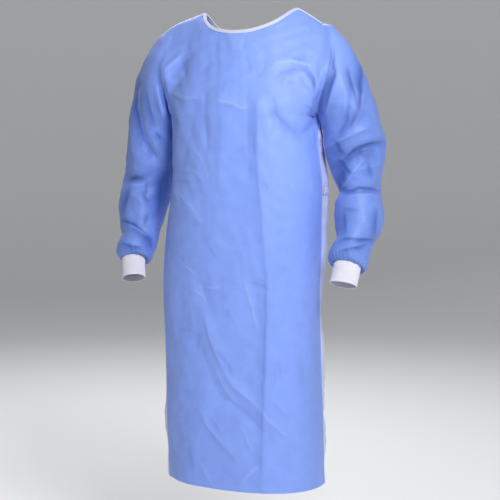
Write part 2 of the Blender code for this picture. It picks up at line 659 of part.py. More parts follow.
def build_cloth():
    """The front, both backs and the sleeves. Returns the body's grids for what lies on them."""
    front = folded(front_grid(), "front", ("first_column", "last_column", "last_row"))
    left = folded(back_grid("left"), "back", ("first_column", "last_row"))
    right = folded(back_grid("right"), "back", ("last_column", "last_row"))
    half = SEAM_GAP / 2
    normals = {name: normals_of(grid) for name, grid in (("front", front), ("left", left), ("right", right))}
    rows = BODY_ROWS + 1
    seam = SHOULDER_COLUMNS + 1
    mitre(normals["front"][:rows, -1], normals["left"][:rows, 0])
    mitre(normals["front"][:rows, 0], normals["right"][:rows, -1])
    mitre(normals["front"][-1, -seam:], normals["left"][-1, :seam][::-1])
    mitre(normals["front"][-1, :seam], normals["right"][-1, -seam:][::-1])
    for side in ("left", "right"):
        grid, shares = sleeve_grid(side)
        grid = folded(grid, f"sleeve_{side}", ("first_row", "last_row"), round_the_end=True)
        out = normals_of(grid, round_the_end=True)
        share_armhole_directions(side, shares, out, normals["front"], normals[side])
        trim(grid, "first_row", half)
        trim(grid, "last_row", half)
        wall(f"sleeve_{side}", grid, out, CLOTH, ("blue_cloth", BLUE), round_the_end=True)
    trim(front, "first_column", half)
    trim(front, "last_column", half)
    trim(left, "first_column", half)
    trim(right, "last_column", half)
    for grid in (front, left, right):
        trim(grid, "last_row", half)
    wall("gown_front", front, normals["front"], CLOTH, ("blue_cloth", BLUE))
    wall("gown_back_left", left, normals["left"], CLOTH, ("pale_cloth", PALE))
    wall("gown_back_right", right, normals["right"], CLOTH, ("pale_cloth", PALE))
    return {"front": front, "left": left, "right": right}, normals


def tube_faces_inwards(grid):
    """Whether a tube's columns run the wrong way round for its normals to point outwards."""
    normals = normals_of(grid, round_the_end=True)
    middle = grid.mean(axis=1, keepdims=True)
    return ((grid - middle) * normals).sum(-1)[1:-1].mean() < 0


def build_cuffs():
    for side in ("left", "right"):
        grid = cuff_grid(side)
        if tube_faces_inwards(grid):
            grid = grid[:, ::-1].copy()
        normals = normals_of(grid, round_the_end=True)
        trim(grid, "first_row", SEAM_GAP)
        wall(f"cuff_{side}", grid, normals, KNIT, ("white_knit", WHITE), 0.8, round_the_end=True)


def surface(grids):
    """The outsides of some panels as one searchable surface."""
    vertices, faces = [], []
    for grid in grids:
        rows, cols = grid.shape[:2]
        start = len(vertices)
        vertices += [tuple(p) for p in grid.reshape(-1, 3)]
        for i in range(rows - 1):
            for j in range(cols - 1):
                a = start + i * cols + j
                faces += [(a, a + 1, a + 1 + cols), (a, a + 1 + cols, a + cols)]
    return BVHTree.FromPolygons(vertices, faces)


def settle(tree, points):
    """The nearest places on a surface to some points, and the surface's directions there."""
    found = [tree.find_nearest(tuple(p))[:2] for p in points]
    return np.array([tuple(f[0]) for f in found]), np.array([tuple(f[1]) for f in found])


def room_beside(tree, lines, way):
    """How far a strip must stand off a surface at each station for its facets to stay clear.

    The strip runs beside the surface's outside where way is 1, and beside its inside where -1.
    """
    depth = 0 if way == 1 else CLOTH
    room = np.full(len(lines[0][0]), LYING_GAP)
    for _ in range(4):
        moved = [place + direction * way * (room[:, None] + depth) for place, direction in lines]
        short = np.zeros(len(room))
        for first, second in zip(moved[:-1], moved[1:]):
            for along in (0.25, 0.5, 0.75):
                ends = [line[:-1] * (1 - along) + line[1:] * along for line in (first, second)]
                for share in (0.0, 0.5, 1.0):
                    points = ends[0] * (1 - share) + ends[1] * share
                    place, direction = settle(tree, points)
                    gap = ((points - place) * direction).sum(-1) * way - depth
                    lack = np.maximum(LYING_GAP * 0.8 - gap, 0)
                    short[:-1] = np.maximum(short[:-1], lack)
                    short[1:] = np.maximum(short[1:], lack)
        room = room + short
    return room


def band_stations(grids, normals):
    """The neck's edge as a row of places, each with its directions and, on a seam, its lower end."""
    n = SHOULDER_COLUMNS
    runs = (
        ("left", range(grids["left"].shape[1] - 1, n, -1)),
        ("front", range(grids["front"].shape[1] - 2 - n, n, -1)),
        ("right", range(BACK_NECK_COLUMNS - 1, -1, -1)),
    )
    seams = (("left", n, n - 1), ("front", n, n - 1), None)
    places = []
    for (name, cols), seam in zip(runs, seams):
        places += [(grids[name][-1, j], normals[name][-1, j], None) for j in cols]
        if seam:
            panel, at, toward = seam
            edge = grids[panel][-1]
            places.append((edge[at], normals[panel][-1, at], unit(edge[toward] - edge[at])))
    finer = []
    for first, second in zip(places[:-1], places[1:]):
        finer += [first, ((first[0] + second[0]) / 2, unit(first[1] + second[1]), None)]
    return finer + places[-1:]


def build_binding(grids, normals):
    """The band folded over the neck's edge, open where the back panels overlap."""
    places = band_stations(grids, normals)
    edge = np.array([p[0] for p in places])
    out = np.array([p[1] for p in places])
    tangent = unit(np.gradient(edge, axis=0))
    rise = unit(np.cross(tangent, out))
    tree = surface(grids.values())
    levels = []
    for share in (0.5, 1.0):
        wanted = edge - rise * BINDING_WIDTH * share
        for k, place in enumerate(places):
            if place[2] is not None:
                wanted[k] = edge[k] + place[2] * BINDING_WIDTH * share
        low, low_out = settle(tree, wanted)
        for k, place in enumerate(places):
            if place[2] is not None:
                low_out[k] = out[k]
        levels.append((low, low_out))
    lines = [(edge + rise * LYING_GAP, out), *levels]
    gaps = {way: room_beside(tree, lines, way) for way in (1, -1)}
    over, under = gaps[1][:, None], gaps[-1][:, None]
    far_lines = [(edge + rise * (LYING_GAP + BINDING_CLOTH), out), *levels]
    outer = [(place, way, over + BINDING_CLOTH) for place, way in far_lines]
    inner = [(place, way, over) for place, way in lines]
    back_outer = [(place, way, under + BINDING_CLOTH) for place, way in far_lines]
    back_inner = [(place, way, under) for place, way in lines]
    ring = [place + way * lift for place, way, lift in reversed(outer)]
    ring += [place - way * (lift + CLOTH) for place, way, lift in back_outer]
    ring += [place - way * (lift + CLOTH) for place, way, lift in reversed(back_inner)]
    ring += [place + way * lift for place, way, lift in inner]
    rings = np.stack(ring, axis=1)
    stations, corners = rings.shape[:2]
    faces = []
    for i in range(stations - 1):
        for j in range(corners):
            k = (j + 1) % corners
            a, b, c, d = i * corners + j, i * corners + k, (i + 1) * corners + k, (i + 1) * corners + j
            faces += [(a, b, c), (a, c, d)]
    last = (stations - 1) * corners
    for j in range(corners // 2 - 1):
        a, b, c, d = j, j + 1, corners - 2 - j, corners - 1 - j
        faces += [(d, c, b), (d, b, a), (last + a, last + b, last + c), (last + a, last + c, last + d)]
    new_object("neck_binding", rings.reshape(-1, 3), faces, ("white_knit", WHITE), 0.7)


def on_panel(grid, panel_shares, share, height):
    """The place on a panel's outside at a share of its way round and a height."""
    column_at = float(np.interp(share, panel_shares, np.arange(grid.shape[1])))
    j = min(int(column_at), grid.shape[1] - 2)
    line = grid[:, j] + (grid[:, j + 1] - grid[:, j]) * (column_at - j)
    return np.array([np.interp(height, line[:, 2], line[:, axis]) for axis in range(3)])


def build_tape(name, grid, panel_shares, rows, width, stations, colour):
    """A flat tape that lies on a back panel along a path, and stands off it where it must.

    Returns the grid of its outside.
    """
    keys = np.linspace(0, 1, len(rows))
    path = columns(PATH_COLUMNS, rows, PATH_COLUMNS)
    shares, heights, lifts = cubic(keys, path, np.linspace(0, 1, stations)).T
    tree = surface([grid])
    middle = np.array([on_panel(grid, panel_shares, a, b) for a, b in zip(shares, heights)])
    middle, out = settle(tree, middle)
    side = unit(np.cross(out, np.gradient(middle, axis=0)))
    sides = []
    for way in (0.5, -0.5):
        place, direction = settle(tree, middle + side * width * way)
        sides.append((place, direction))
    normal = unit(sum(direction for _, direction in sides))
    lift = (TIE_LIFT + np.maximum(lifts, 0) + TIE_CLOTH)[:, None]
    points = np.stack([place + normal * lift for place, _ in sides], axis=1)
    wall(name, points, np.stack([normal, normal], axis=1), TIE_CLOTH, colour, 0.6)
    return points


def build_knot(place, out, tie):
    """The tied knot, a soft flattened block on the outer tie, where the two ties cross."""
    across = unit(np.cross(out, np.array([0.0, 0.0, 1.0])))
    rise = np.cross(across, out)
    wide, tall, thick = (np.array(KNOT_SIZE) / 2)[:, None, None]
    levels = np.linspace(-math.pi / 2, math.pi / 2, 9)[1:-1, None]
    turns = np.linspace(0, 2 * math.pi, 14, endpoint=False)[None]
    x = wide * soft(np.cos(levels), 0.7) * soft(np.cos(turns), 0.8)
    y = thick * soft(np.cos(levels), 0.7) * soft(np.sin(turns), 0.8)
    z = tall * soft(np.sin(levels), 0.8) * np.ones_like(x)
    rings = place + x[..., None] * across + y[..., None] * out + z[..., None] * rise
    ends = place + np.array([-1.0, 1.0])[:, None] * rise * KNOT_SIZE[1] / 2
    vertices = np.concatenate([rings.reshape(-1, 3), ends]) + out * KNOT_SIZE[2] * 2
    for _ in range(8):
        gap = np.linalg.norm(vertices - settle(tie, vertices)[0], axis=1).min()
        vertices = vertices - out * (gap - KNOT_GAP)
    rows, count = x.shape[-2:]
    faces = []
    for j in range(count):
        k = (j + 1) % count
        for i in range(rows - 1):
            a, b, c, d = i * count + j, i * count + k, (i + 1) * count + k, (i + 1) * count + j
            faces += [(a, b, c), (a, c, d)]
        top = (rows - 1) * count
        faces += [(len(vertices) - 2, k, j), (len(vertices) - 1, top + j, top + k)]
    new_object("waist_knot", vertices, faces, ("white_tape", WHITE), 0.6)


def build_closures(grids):
    tape = ("white_tape", WHITE)
    left, right = back_shares("left"), back_shares("right")
    build_tape("waist_tie_left", grids["left"], left, LEFT_TIE, TIE_WIDTH, TIE_STATIONS, tape)
    tie = build_tape("waist_tie_right", grids["right"], right, RIGHT_TIE, TIE_WIDTH, TIE_STATIONS, tape)
    build_tape("neck_tab", grids["right"], right, NECK_TAB, TAB_WIDTH, TAB_STATIONS, tape)
    place, out = settle(surface([grids["right"]]), [on_panel(grids["right"], right, *KNOT_PLACE)])
    build_knot(place[0], out[0], surface([tie]))


def main():
    for obj in list(bpy.data.objects):
        bpy.data.objects.remove(obj)
    grids, normals = build_cloth()
    build_cuffs()
    build_binding(grids, normals)
    build_closures(grids)


main()
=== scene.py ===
"""The looks of a surgical gown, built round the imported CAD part.

Metres, +Z up. +X is the wearer's left, -Y is ahead of the wearer. Every piece follows the same
sections, seams and folds as its solid, with finer divisions, fine creases and sewn detail.
"""

import math

import bpy
import numpy as np
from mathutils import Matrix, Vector
from mathutils.bvhtree import BVHTree


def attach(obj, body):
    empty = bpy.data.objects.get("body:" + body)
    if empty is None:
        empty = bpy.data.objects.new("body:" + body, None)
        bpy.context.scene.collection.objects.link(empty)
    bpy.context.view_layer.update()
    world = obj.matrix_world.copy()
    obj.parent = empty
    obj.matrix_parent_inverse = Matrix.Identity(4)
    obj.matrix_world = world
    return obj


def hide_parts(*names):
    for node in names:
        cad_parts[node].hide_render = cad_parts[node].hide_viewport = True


# Sizes that the solids share
SHOWN_CLOTH = 0.0010
SEAM_GAP = 0.00005
LYING_GAP = 0.0005
HEM_HEIGHT = -1.157
HEM_TILT = -0.038
UNDERARM_HEIGHT = -0.258
BINDING_WIDTH = 0.008
BINDING_CLOTH = 0.0010
TIE_WIDTH = 0.018
TIE_CLOTH = 0.0012
TIE_LIFT = 0.0014
TAB_WIDTH = 0.022
KNOT_SIZE = (0.032, 0.026, 0.010)
KNOT_PLACE = (0.4975, -0.456)
KNOT_GAP = 0.0004
BACK_OVERLAP_DEG = 19.0
OVERLAP_LIFT = 0.0065
OVERLAP_RAMP_DEG = 7.0
SHOULDER_BOW = 0.002

# How finely the shown cloth is divided, and how many of its rows stand for one of the solid's
BODY_ROWS = 230
YOKE_ROWS = 65
SHOULDER_COLUMNS = 22
FRONT_NECK_COLUMNS = 108
BACK_NECK_COLUMNS = 72
SLEEVE_CAP_ROWS = 36
SLEEVE_TUBE_ROWS = 150
CUFF_ROWS = 44
CUFF_RIBS = 56
TIE_STATIONS = 230
TAB_STATIONS = 50
TAPE_SHARES = (0.5, 0.47, 0.4, 0.2, 0.0, -0.2, -0.4, -0.47, -0.5)
EDGE_REACH = {"rows": 14.0, "columns": 12.0, "sleeve_rows": 12.0}

# The viewpoint that folds are placed from: ahead of the wearer and to the wearer's left
VIEW_AZIMUTH_DEG = 20.0
VIEW_DISTANCE = 4.0
VIEW_HEIGHT = -0.22

# Shown details of the cloth and its sewing
SHOWN_KNIT = 0.0016
RIB_COLUMNS = 5
RIB_DEPTH = 0.0006
SEAM_ROLL = 0.0002
SEAM_PUCKER = 0.00030
DENT_DEPTH = 0.011
DENT_WIDTH = 0.011
SLEEVE_BULGE = 0.0040
SEAM_PUCKER_PITCH = 0.013
PATCH_BOTTOM = -0.100
PATCH_TOP = -0.055
PATCH_HALF_WIDTH = 0.026
PATCH_MIDDLE = -0.030
PATCH_STRENGTH = 0.48
HEM_WIDTH = 0.012
HEM_STEP = 0.0004
HEM_PITCH = 0.0040
BINDING_PITCH = 0.0032
BINDING_SHARES = (0.08, 0.25, 0.50, 0.80, 1.00)
THREAD = 0.00025
# How far down the sleeve the painted light at the shoulder reaches
LIT_SHOULDER_REACH = 0.14
RELAX_ROW = 132
RELAX_FADE_ROWS = 12
RELAX_TIMES = 30
RELAX_AGAIN = 4
PLAIN_END = 0.045
PLAIN_FADE = 0.070
SLEEVE_GATHERS = 20
SLEEVE_GATHER = 0.0012
# Width of the painted highlight along a ridge crease
HIGHLIGHT_WIDTH = 0.0022
# Painted shade along the valley creases: how far it spreads, how sharp its edge is, and how deep a crease must be for
# full shade
DARK_SPREAD = 0.9
DARK_EDGE = 1.4
DARK_DEPTH = 1.7

BROAD_WAVES = 4
FINE_WAVES = 7
FOLD_SHARPNESS = 1.15
SLEEVE_FOLD_GAIN = 1.0
CREASE_GAINS = {"front": 1.8, "sleeve_left": 1.9, "sleeve_right": 1.9}
CREASE_WIDTHS = {"front": 1.0, "sleeve_left": 1.4, "sleeve_right": 1.4}
LIT_FROM = (0.53, 0.85)
LIT_FLANK = 2.2
SHADED_FLANK = 0.7
FINE_REACH = 3.0
EVEN_COLUMNS = 7.0
EVEN_REACH = 0.045

# How crumpled each piece is, in metres: broad facets and small ones, most lines lying across along
CRUMPLE_COLUMNS = ("piece", "creases_of", "broad", "broad_size", "fine", "fine_size", "along", "seed")
CRUMPLES = (
    ("gown_front", "front", 0.0016, 0.110, 0.00070, 0.040, (0.8, 0.0, 0.2), 101),
    ("gown_back_left", "front", 0.0040, 0.100, 0.00120, 0.036, (0.8, 0.0, 0.3), 201),
    ("gown_back_right", "front", 0.0040, 0.100, 0.00120, 0.036, (0.8, 0.0, 0.3), 301),
    ("sleeve_left", "sleeve_left", 0.0030, 0.100, 0.00090, 0.036, (0.2, 0.0, 0.9), 401),
    ("sleeve_right", "sleeve_right", 0.0030, 0.100, 0.00090, 0.036, (-0.2, 0.0, 0.9), 501),
)

# What each piece is cut from: its width and length in metres, and its flat area in square metres
CUT_COLUMNS = ("piece", "width", "length", "area", "held", "slot")
CUTS = (
    ("gown_front", 0.620, 1.160, 0.575, "hung", "blue_cloth"),
    ("gown_back_left", 0.420, 1.120, 0.405, "hung", "pale_cloth"),
    ("gown_back_right", 0.420, 1.120, 0.445, "hung", "pale_cloth"),
    ("sleeve_left", 0.450, 0.620, 0.203, "hung", "blue_cloth"),
    ("sleeve_right", 0.450, 0.620, 0.203, "hung", "blue_cloth"),
    ("cuff_left", 0.200, 0.055, 0.0105, "stretched", "white_knit"),
    ("cuff_right", 0.185, 0.055, 0.0095, "stretched", "white_knit"),
    ("neck_binding", 0.800, 0.026, 0.0205, "folded", "white_knit"),
    ("neck_tab", 0.022, 0.100, 0.0020, "laid", "white_tape"),
    ("waist_tie_left", 0.018, 0.500, 0.0088, "laid", "white_tape"),
    ("waist_tie_right", 0.018, 0.500, 0.0087, "laid", "white_tape"),
    ("waist_knot", 0.018, 0.080, 0.0014, "folded", "white_tape"),
)

# Colours as linear red, green, blue and alpha
BLUE = (0.220, 0.342, 0.850, 1.0)
# Painted shade, mixed into the blue cloth along its valley folds
BLUE_PAINTED_SHADE = (0.035, 0.085, 0.360, 1.0)
# Painted highlight along the blue cloth's ridge creases, also the tint of the paler patch below the neck
BLUE_HIGHLIGHT_AND_PATCH = (0.360, 0.500, 0.950, 1.0)
# The sleeves' blue and ridge highlight, painted darker than the body's as shaded copies of the same cloth
SLEEVE_SHADED_BLUE = (0.158, 0.262, 0.690, 1.0)
SLEEVE_SHADED_HIGHLIGHT = (0.240, 0.370, 0.850, 1.0)
PALE = (0.580, 0.640, 0.900, 1.0)
# Painted shade for the pale cloth's valley folds
PALE_PAINTED_SHADE = (0.260, 0.330, 0.620, 1.0)
# Painted highlight along the ridge creases of the pale cloth and the inner face, also the tint of the patch inside the
# front
PALE_HIGHLIGHT_AND_PATCH = (0.660, 0.720, 0.930, 1.0)
INSIDE = (0.420, 0.520, 0.860, 1.0)
# Painted shade for the inner face's valley folds
INSIDE_PAINTED_SHADE = (0.220, 0.300, 0.600, 1.0)
KNIT_WHITE = (0.870, 0.850, 0.930, 1.0)
# Painted shade in the knit's rib channels and between its loops
KNIT_PAINTED_SHADE = (0.420, 0.420, 0.560, 1.0)
TAPE_WHITE = (0.640, 0.690, 0.880, 1.0)
# Painted shade in the tape's twill grooves, also the colour of its random darker flecks
TAPE_SHADE_AND_FLECK = (0.360, 0.420, 0.640, 1.0)
THREAD_BLUE = (0.420, 0.520, 0.850, 1.0)
FLOOR_COLOUR = (0.860, 0.860, 0.870, 1.0)
WORLD_COLOUR = (0.950, 0.970, 1.000, 1.0)

# Studio: soft lights by direction, distance, size and power, the floor and the camera
WORLD_STRENGTH = 0.24
LIGHT_COLUMNS = ("name", "azimuth_deg", "elevation_deg", "distance", "size", "power")
LIGHTS = (
    ("key", 38.0, 34.0, 3.4, 0.9, 102.0),
    ("rear", 212.0, 40.0, 3.6, 1.4, 80.0),
)
FLOOR_HEIGHT = -1.45
BACKDROP_AWAY = 7.0
BACKDROP_BEND = 2.5
BACKDROP_HEIGHT = 3.2
CAMERA_LENS = 117.1
AIM = (0.0, 0.0, -0.590)

# Level sections of the body, from hem to underarm
BODY_COLUMNS = ("height", "middle_x", "middle_y", "half_width", "front", "back", "squareness")
BODY_SECTIONS = (
    (-1.175, -0.006, 0.000, 0.197, 0.165, 0.150, 2.3),
    (-1.000, -0.012, 0.000, 0.199, 0.165, 0.155, 2.3),
    (-0.850, -0.016, 0.000, 0.198, 0.160, 0.160, 2.3),
    (-0.700, -0.019, 0.000, 0.199, 0.160, 0.160, 2.3),
    (-0.600, -0.012, 0.000, 0.200, 0.160, 0.145, 2.3),
    (-0.500, -0.005, 0.000, 0.197, 0.158, 0.125, 2.3),
    (-0.420, 0.001, 0.000, 0.193, 0.154, 0.120, 2.3),
    (-0.340, -0.004, 0.000, 0.188, 0.149, 0.121, 2.3),
    (-0.258, -0.010, 0.000, 0.186, 0.142, 0.125, 2.3),
)

# Where the side seams stand round the body, measured from the wearer's left
SEAM_COLUMNS = ("height", "left_deg", "right_deg")
SIDE_SEAMS = (
    (-1.175, 5.0, 212.0),
    (-0.900, 3.0, 213.0),
    (-0.720, 1.0, 210.0),
    (-0.620, -2.0, 202.0),
    (-0.450, -6.0, 190.0),
    (-0.340, -6.0, 183.0),
    (-0.258, 0.0, 180.0),
)

# Top edge of the front, from the wearer's right shoulder to the left, with the way the cloth arrives
TOP_COLUMNS = ("share", "x", "y", "z", "along_x", "along_y", "along_z")
FRONT_TOP = (
    (0.000, -0.200, 0.010, -0.036, 0.00, 0.15, 0.02),
    (0.170, -0.120, 0.004, -0.009, 0.05, 0.12, 0.05),
    (0.230, -0.101, -0.030, -0.029, 0.09, 0.08, 0.08),
    (0.300, -0.076, -0.053, -0.045, 0.07, 0.08, 0.10),
    (0.400, -0.035, -0.072, -0.054, 0.03, 0.07, 0.13),
    (0.500, 0.006, -0.079, -0.055, 0.00, 0.06, 0.14),
    (0.600, 0.045, -0.072, -0.048, -0.03, 0.07, 0.13),
    (0.680, 0.083, -0.050, -0.031, -0.07, 0.08, 0.10),
    (0.750, 0.112, -0.010, -0.005, -0.09, 0.09, 0.07),
    (0.775, 0.119, 0.001, -0.001, -0.06, 0.12, 0.05),
    (0.830, 0.147, 0.016, -0.016, -0.01, 0.15, 0.01),
    (0.890, 0.178, 0.026, -0.038, 0.00, 0.15, -0.01),
    (1.000, 0.206, 0.012, -0.043, 0.00, 0.15, 0.02),
)
RIGHT_NECK_SHARE = 0.17
LEFT_NECK_SHARE = 0.89

# Top edge of the back, from the wearer's left shoulder to the right
BACK_TOP = (
    (0.000, 0.206, 0.012, -0.043, 0.00, -0.12, 0.03),
    (0.110, 0.178, 0.026, -0.038, 0.00, -0.10, 0.08),
    (0.220, 0.165, 0.072, -0.064, -0.01, -0.04, 0.13),
    (0.340, 0.105, 0.098, -0.076, -0.01, -0.02, 0.14),
    (0.480, 0.020, 0.104, -0.072, 0.00, -0.02, 0.14),
    (0.600, -0.045, 0.096, -0.065, 0.00, -0.03, 0.14),
    (0.720, -0.100, 0.058, -0.045, 0.03, -0.07, 0.11),
    (0.830, -0.120, 0.004, -0.009, 0.04, -0.12, 0.05),
    (1.000, -0.200, 0.010, -0.036, 0.00, -0.12, 0.03),
)
BACK_LEFT_NECK_SHARE = 0.11
BACK_RIGHT_NECK_SHARE = 0.83

# Armholes, from the underarm up the front to the tip of the shoulder, then down the back
ARMHOLE_COLUMNS = ("share", "x", "y", "z")
LEFT_ARMHOLE = (
    (0.00, 0.176, 0.000, -0.258),
    (0.12, 0.183, -0.038, -0.243),
    (0.25, 0.204, -0.066, -0.195),
    (0.38, 0.225, -0.058, -0.126),
    (0.50, 0.206, 0.012, -0.043),
    (0.62, 0.220, 0.068, -0.124),
    (0.75, 0.204, 0.076, -0.193),
    (0.88, 0.184, 0.046, -0.242),
    (1.00, 0.176, 0.000, -0.258),
)
RIGHT_ARMHOLE = (
    (0.00, -0.196, 0.000, -0.258),
    (0.12, -0.199, -0.038, -0.243),
    (0.25, -0.205, -0.066, -0.195),
    (0.38, -0.207, -0.060, -0.124),
    (0.50, -0.200, 0.010, -0.036),
    (0.62, -0.206, 0.068, -0.124),
    (0.75, -0.205, 0.076, -0.193),
    (0.88, -0.200, 0.046, -0.242),
    (1.00, -0.196, 0.000, -0.258),
)

# Which way each sleeve's cloth leaves its armhole, over the top and under the arm
LEAVE_COLUMNS = ("side", "top_x", "top_z", "under_x", "under_z", "length")
SLEEVE_LEAVES = (
    ("left", 0.80, -0.60, 0.30, -0.95, 0.85),
    ("right", -0.92, -0.40, -0.30, -0.95, 1.05),
)

# Rings of each sleeve below its cap. The droop is how far a ring's back sinks over the cuff.
SLEEVE_COLUMNS = ("share", "x", "y", "z", "half_width", "half_depth", "droop")
LEFT_SLEEVE = (
    (0.00, 0.2555, 0.020, -0.290, 0.0695, 0.072, 0.0),
    (0.14, 0.263, 0.026, -0.343, 0.074, 0.072, 0.0),
    (0.26, 0.268, 0.028, -0.395, 0.063, 0.067, 0.0),
    (0.38, 0.276, 0.024, -0.442, 0.048, 0.060, 0.0),
    (0.48, 0.277, 0.012, -0.480, 0.059, 0.063, 0.0),
    (0.62, 0.279, -0.010, -0.530, 0.057, 0.057, 0.0),
    (0.74, 0.277, -0.030, -0.566, 0.043, 0.052, 0.0),
    (0.84, 0.269, -0.044, -0.590, 0.049, 0.053, 0.004),
    (0.92, 0.269, -0.0525, -0.603, 0.047, 0.049, 0.017),
    (0.96, 0.268, -0.0550, -0.608, 0.041, 0.042, 0.015),
    (1.00, 0.268, -0.0570, -0.612, 0.034, 0.031, 0.0),
)
RIGHT_SLEEVE = (
    (0.00, -0.261, 0.020, -0.290, 0.0625, 0.072, 0.0),
    (0.14, -0.269, 0.026, -0.343, 0.0655, 0.072, 0.0),
    (0.26, -0.277, 0.028, -0.395, 0.065, 0.068, 0.0),
    (0.38, -0.286, 0.024, -0.442, 0.063, 0.062, 0.0),
    (0.48, -0.292, 0.012, -0.485, 0.062, 0.062, 0.0),
    (0.60, -0.289, -0.010, -0.525, 0.055, 0.056, 0.0),
    (0.72, -0.280, -0.034, -0.568, 0.044, 0.050, 0.0),
    (0.84, -0.287, -0.050, -0.594, 0.047, 0.051, 0.002),
    (0.92, -0.287, -0.0565, -0.606, 0.043, 0.047, 0.010),
    (0.96, -0.287, -0.0590, -0.611, 0.038, 0.040, 0.009),
    (1.00, -0.287, -0.0610, -0.615, 0.030, 0.029, 0.0),
)
CUFF_COLUMNS = ("share", "x", "y", "z", "half_width", "half_depth")
LEFT_CUFF = (
    (0.0, 0.268, -0.057, -0.612, 0.034, 0.031),
    (0.5, 0.266, -0.068, -0.635, 0.034, 0.028),
    (1.0, 0.264, -0.078, -0.658, 0.034, 0.028),
)
RIGHT_CUFF = (
    (0.0, -0.287, -0.061, -0.615, 0.030, 0.029),
    (0.5, -0.282, -0.072, -0.638, 0.029, 0.027),
    (1.0, -0.277, -0.083, -0.661, 0.030, 0.027),
)

# What lies on the back: shares of the way from the left side seam to the right, and heights
PATH_COLUMNS = ("share", "height", "lift")
LEFT_TIE = (
    (0.03, -0.440, 0.0000),
    (0.20, -0.442, 0.0000),
    (0.40, -0.446, 0.0000),
    (0.475, -0.448, 0.0000),
    (0.510, -0.457, 0.0000),
    (0.522, -0.482, 0.0000),
    (0.528, -0.560, 0.0000),
    (0.540, -0.660, 0.0000),
)
RIGHT_TIE = (
    (0.97, -0.440, 0.0000),
    (0.80, -0.441, 0.0000),
    (0.68, -0.443, 0.0000),
    (0.64, -0.444, 0.0020),
    (0.60, -0.445, 0.0068),
    (0.55, -0.446, 0.0082),
    (0.515, -0.448, 0.0088),
    (0.480, -0.457, 0.0088),
    (0.468, -0.482, 0.0084),
    (0.462, -0.560, 0.0069),
    (0.445, -0.640, 0.0069),
)
NECK_TAB = (
    (0.535, -0.098, 0.0070),
    (0.600, -0.094, 0.0070),
    (0.624, -0.093, 0.0045),
    (0.650, -0.092, 0.0006),
    (0.690, -0.089, 0.0000),
)

# Broad folds, placed as the viewpoint sees them on an upright plate through the origin
FOLD_COLUMNS = ("piece", "height", "width", "path")
FRONT_FOLDS = (
    ("front", 0.0030, 0.016, ((0.017, -0.23), (0.015, -0.34), (0.044, -0.69), (0.035, -0.99), (0.03, -1.19))),
    ("front", 0.0060, 0.045, ((0.110, -0.17), (0.140, -0.23))),
    ("front", -0.0040, 0.016, ((0.060, -0.26), (0.099, -0.29), (0.136, -0.30), (0.165, -0.28))),
    ("front", -0.0035, 0.018, ((-0.010, -0.21), (-0.005, -0.40))),
    ("front", -0.0030, 0.014, ((-0.111, -0.21), (-0.106, -0.34))),
    ("front", 0.0030, 0.016, ((-0.074, -0.21), (-0.074, -0.41))),
    ("front", -0.0050, 0.014, ((-0.200, -0.16), (-0.148, -0.115))),
    ("front", -0.0050, 0.014, ((-0.205, -0.21), (-0.165, -0.155))),
    ("front", 0.0040, 0.020, ((-0.111, -0.76), (-0.069, -0.89), (-0.03, -0.94), (0.032, -1.00), (0.1, -1.06))),
    ("front", -0.0035, 0.018, ((-0.120, -0.84), (-0.080, -0.95), (0.000, -1.01), (0.060, -1.08))),
    ("front", 0.0035, 0.018, ((-0.124, -0.99), (-0.099, -1.04), (-0.037, -1.10))),
    ("front", 0.0030, 0.016, ((-0.195, -0.44), (-0.128, -0.52))),
    ("front", -0.0030, 0.016, ((-0.170, -0.62), (-0.124, -0.66), (-0.111, -0.72))),
    ("sleeve_left", 0.0060, 0.016, ((0.277, -0.205), (0.274, -0.25), (0.235, -0.30))),
    ("sleeve_left", -0.0060, 0.014, ((0.252, -0.19), (0.245, -0.25), (0.215, -0.30))),
    ("sleeve_left", 0.0060, 0.014, ((0.188, -0.34), (0.237, -0.31), (0.287, -0.29))),
    ("sleeve_left", -0.0090, 0.015, ((0.338, -0.32), (0.272, -0.34), (0.207, -0.39))),
    ("sleeve_left", 0.0040, 0.016, ((0.330, -0.38), (0.240, -0.40))),
    ("sleeve_left", -0.0050, 0.010, ((0.222, -0.45), (0.324, -0.44))),
    ("sleeve_left", -0.0040, 0.010, ((0.215, -0.575), (0.320, -0.565))),
    ("sleeve_right", -0.0090, 0.015, ((-0.269, -0.14), (-0.279, -0.245), (-0.259, -0.32), (-0.235, -0.355))),
    ("sleeve_right", 0.0060, 0.014, ((-0.223, -0.19), (-0.216, -0.26))),
    ("sleeve_right", -0.0070, 0.012, ((-0.311, -0.41), (-0.247, -0.41))),
    ("sleeve_right", 0.0050, 0.018, ((-0.290, -0.45), (-0.262, -0.48))),
    ("sleeve_right", -0.0050, 0.013, ((-0.326, -0.52), (-0.296, -0.52), (-0.259, -0.555), (-0.240, -0.58))),
)
BACK_FOLDS = (
    ("back", 0.0030, 0.018, ((-0.050, -0.25), (-0.045, -0.60), (-0.060, -1.16))),
    ("back", 0.0040, 0.022, ((0.090, -0.30), (0.095, -0.44), (0.060, -0.70), (0.075, -1.16))),
    ("back", -0.0040, 0.020, ((0.020, -0.62), (0.010, -0.90), (0.025, -1.16))),
    ("back", -0.0040, 0.018, ((-0.150, -0.40), (-0.090, -0.47), (0.060, -0.47), (0.140, -0.41))),
    ("back", -0.0035, 0.018, ((-0.120, -0.70), (-0.130, -1.16))),
    ("sleeve_left", -0.0070, 0.015, ((-0.330, -0.40), (-0.270, -0.36), (-0.220, -0.33))),
    ("sleeve_left", 0.0050, 0.014, ((-0.310, -0.34), (-0.240, -0.29))),
    ("sleeve_left", -0.0050, 0.013, ((-0.330, -0.55), (-0.250, -0.53))),
    ("sleeve_right", -0.0070, 0.015, ((0.330, -0.40), (0.270, -0.37), (0.220, -0.34))),
    ("sleeve_right", 0.0050, 0.014, ((0.310, -0.34), (0.240, -0.30))),
    ("sleeve_right", -0.0050, 0.013, ((0.330, -0.54), (0.250, -0.56))),
)
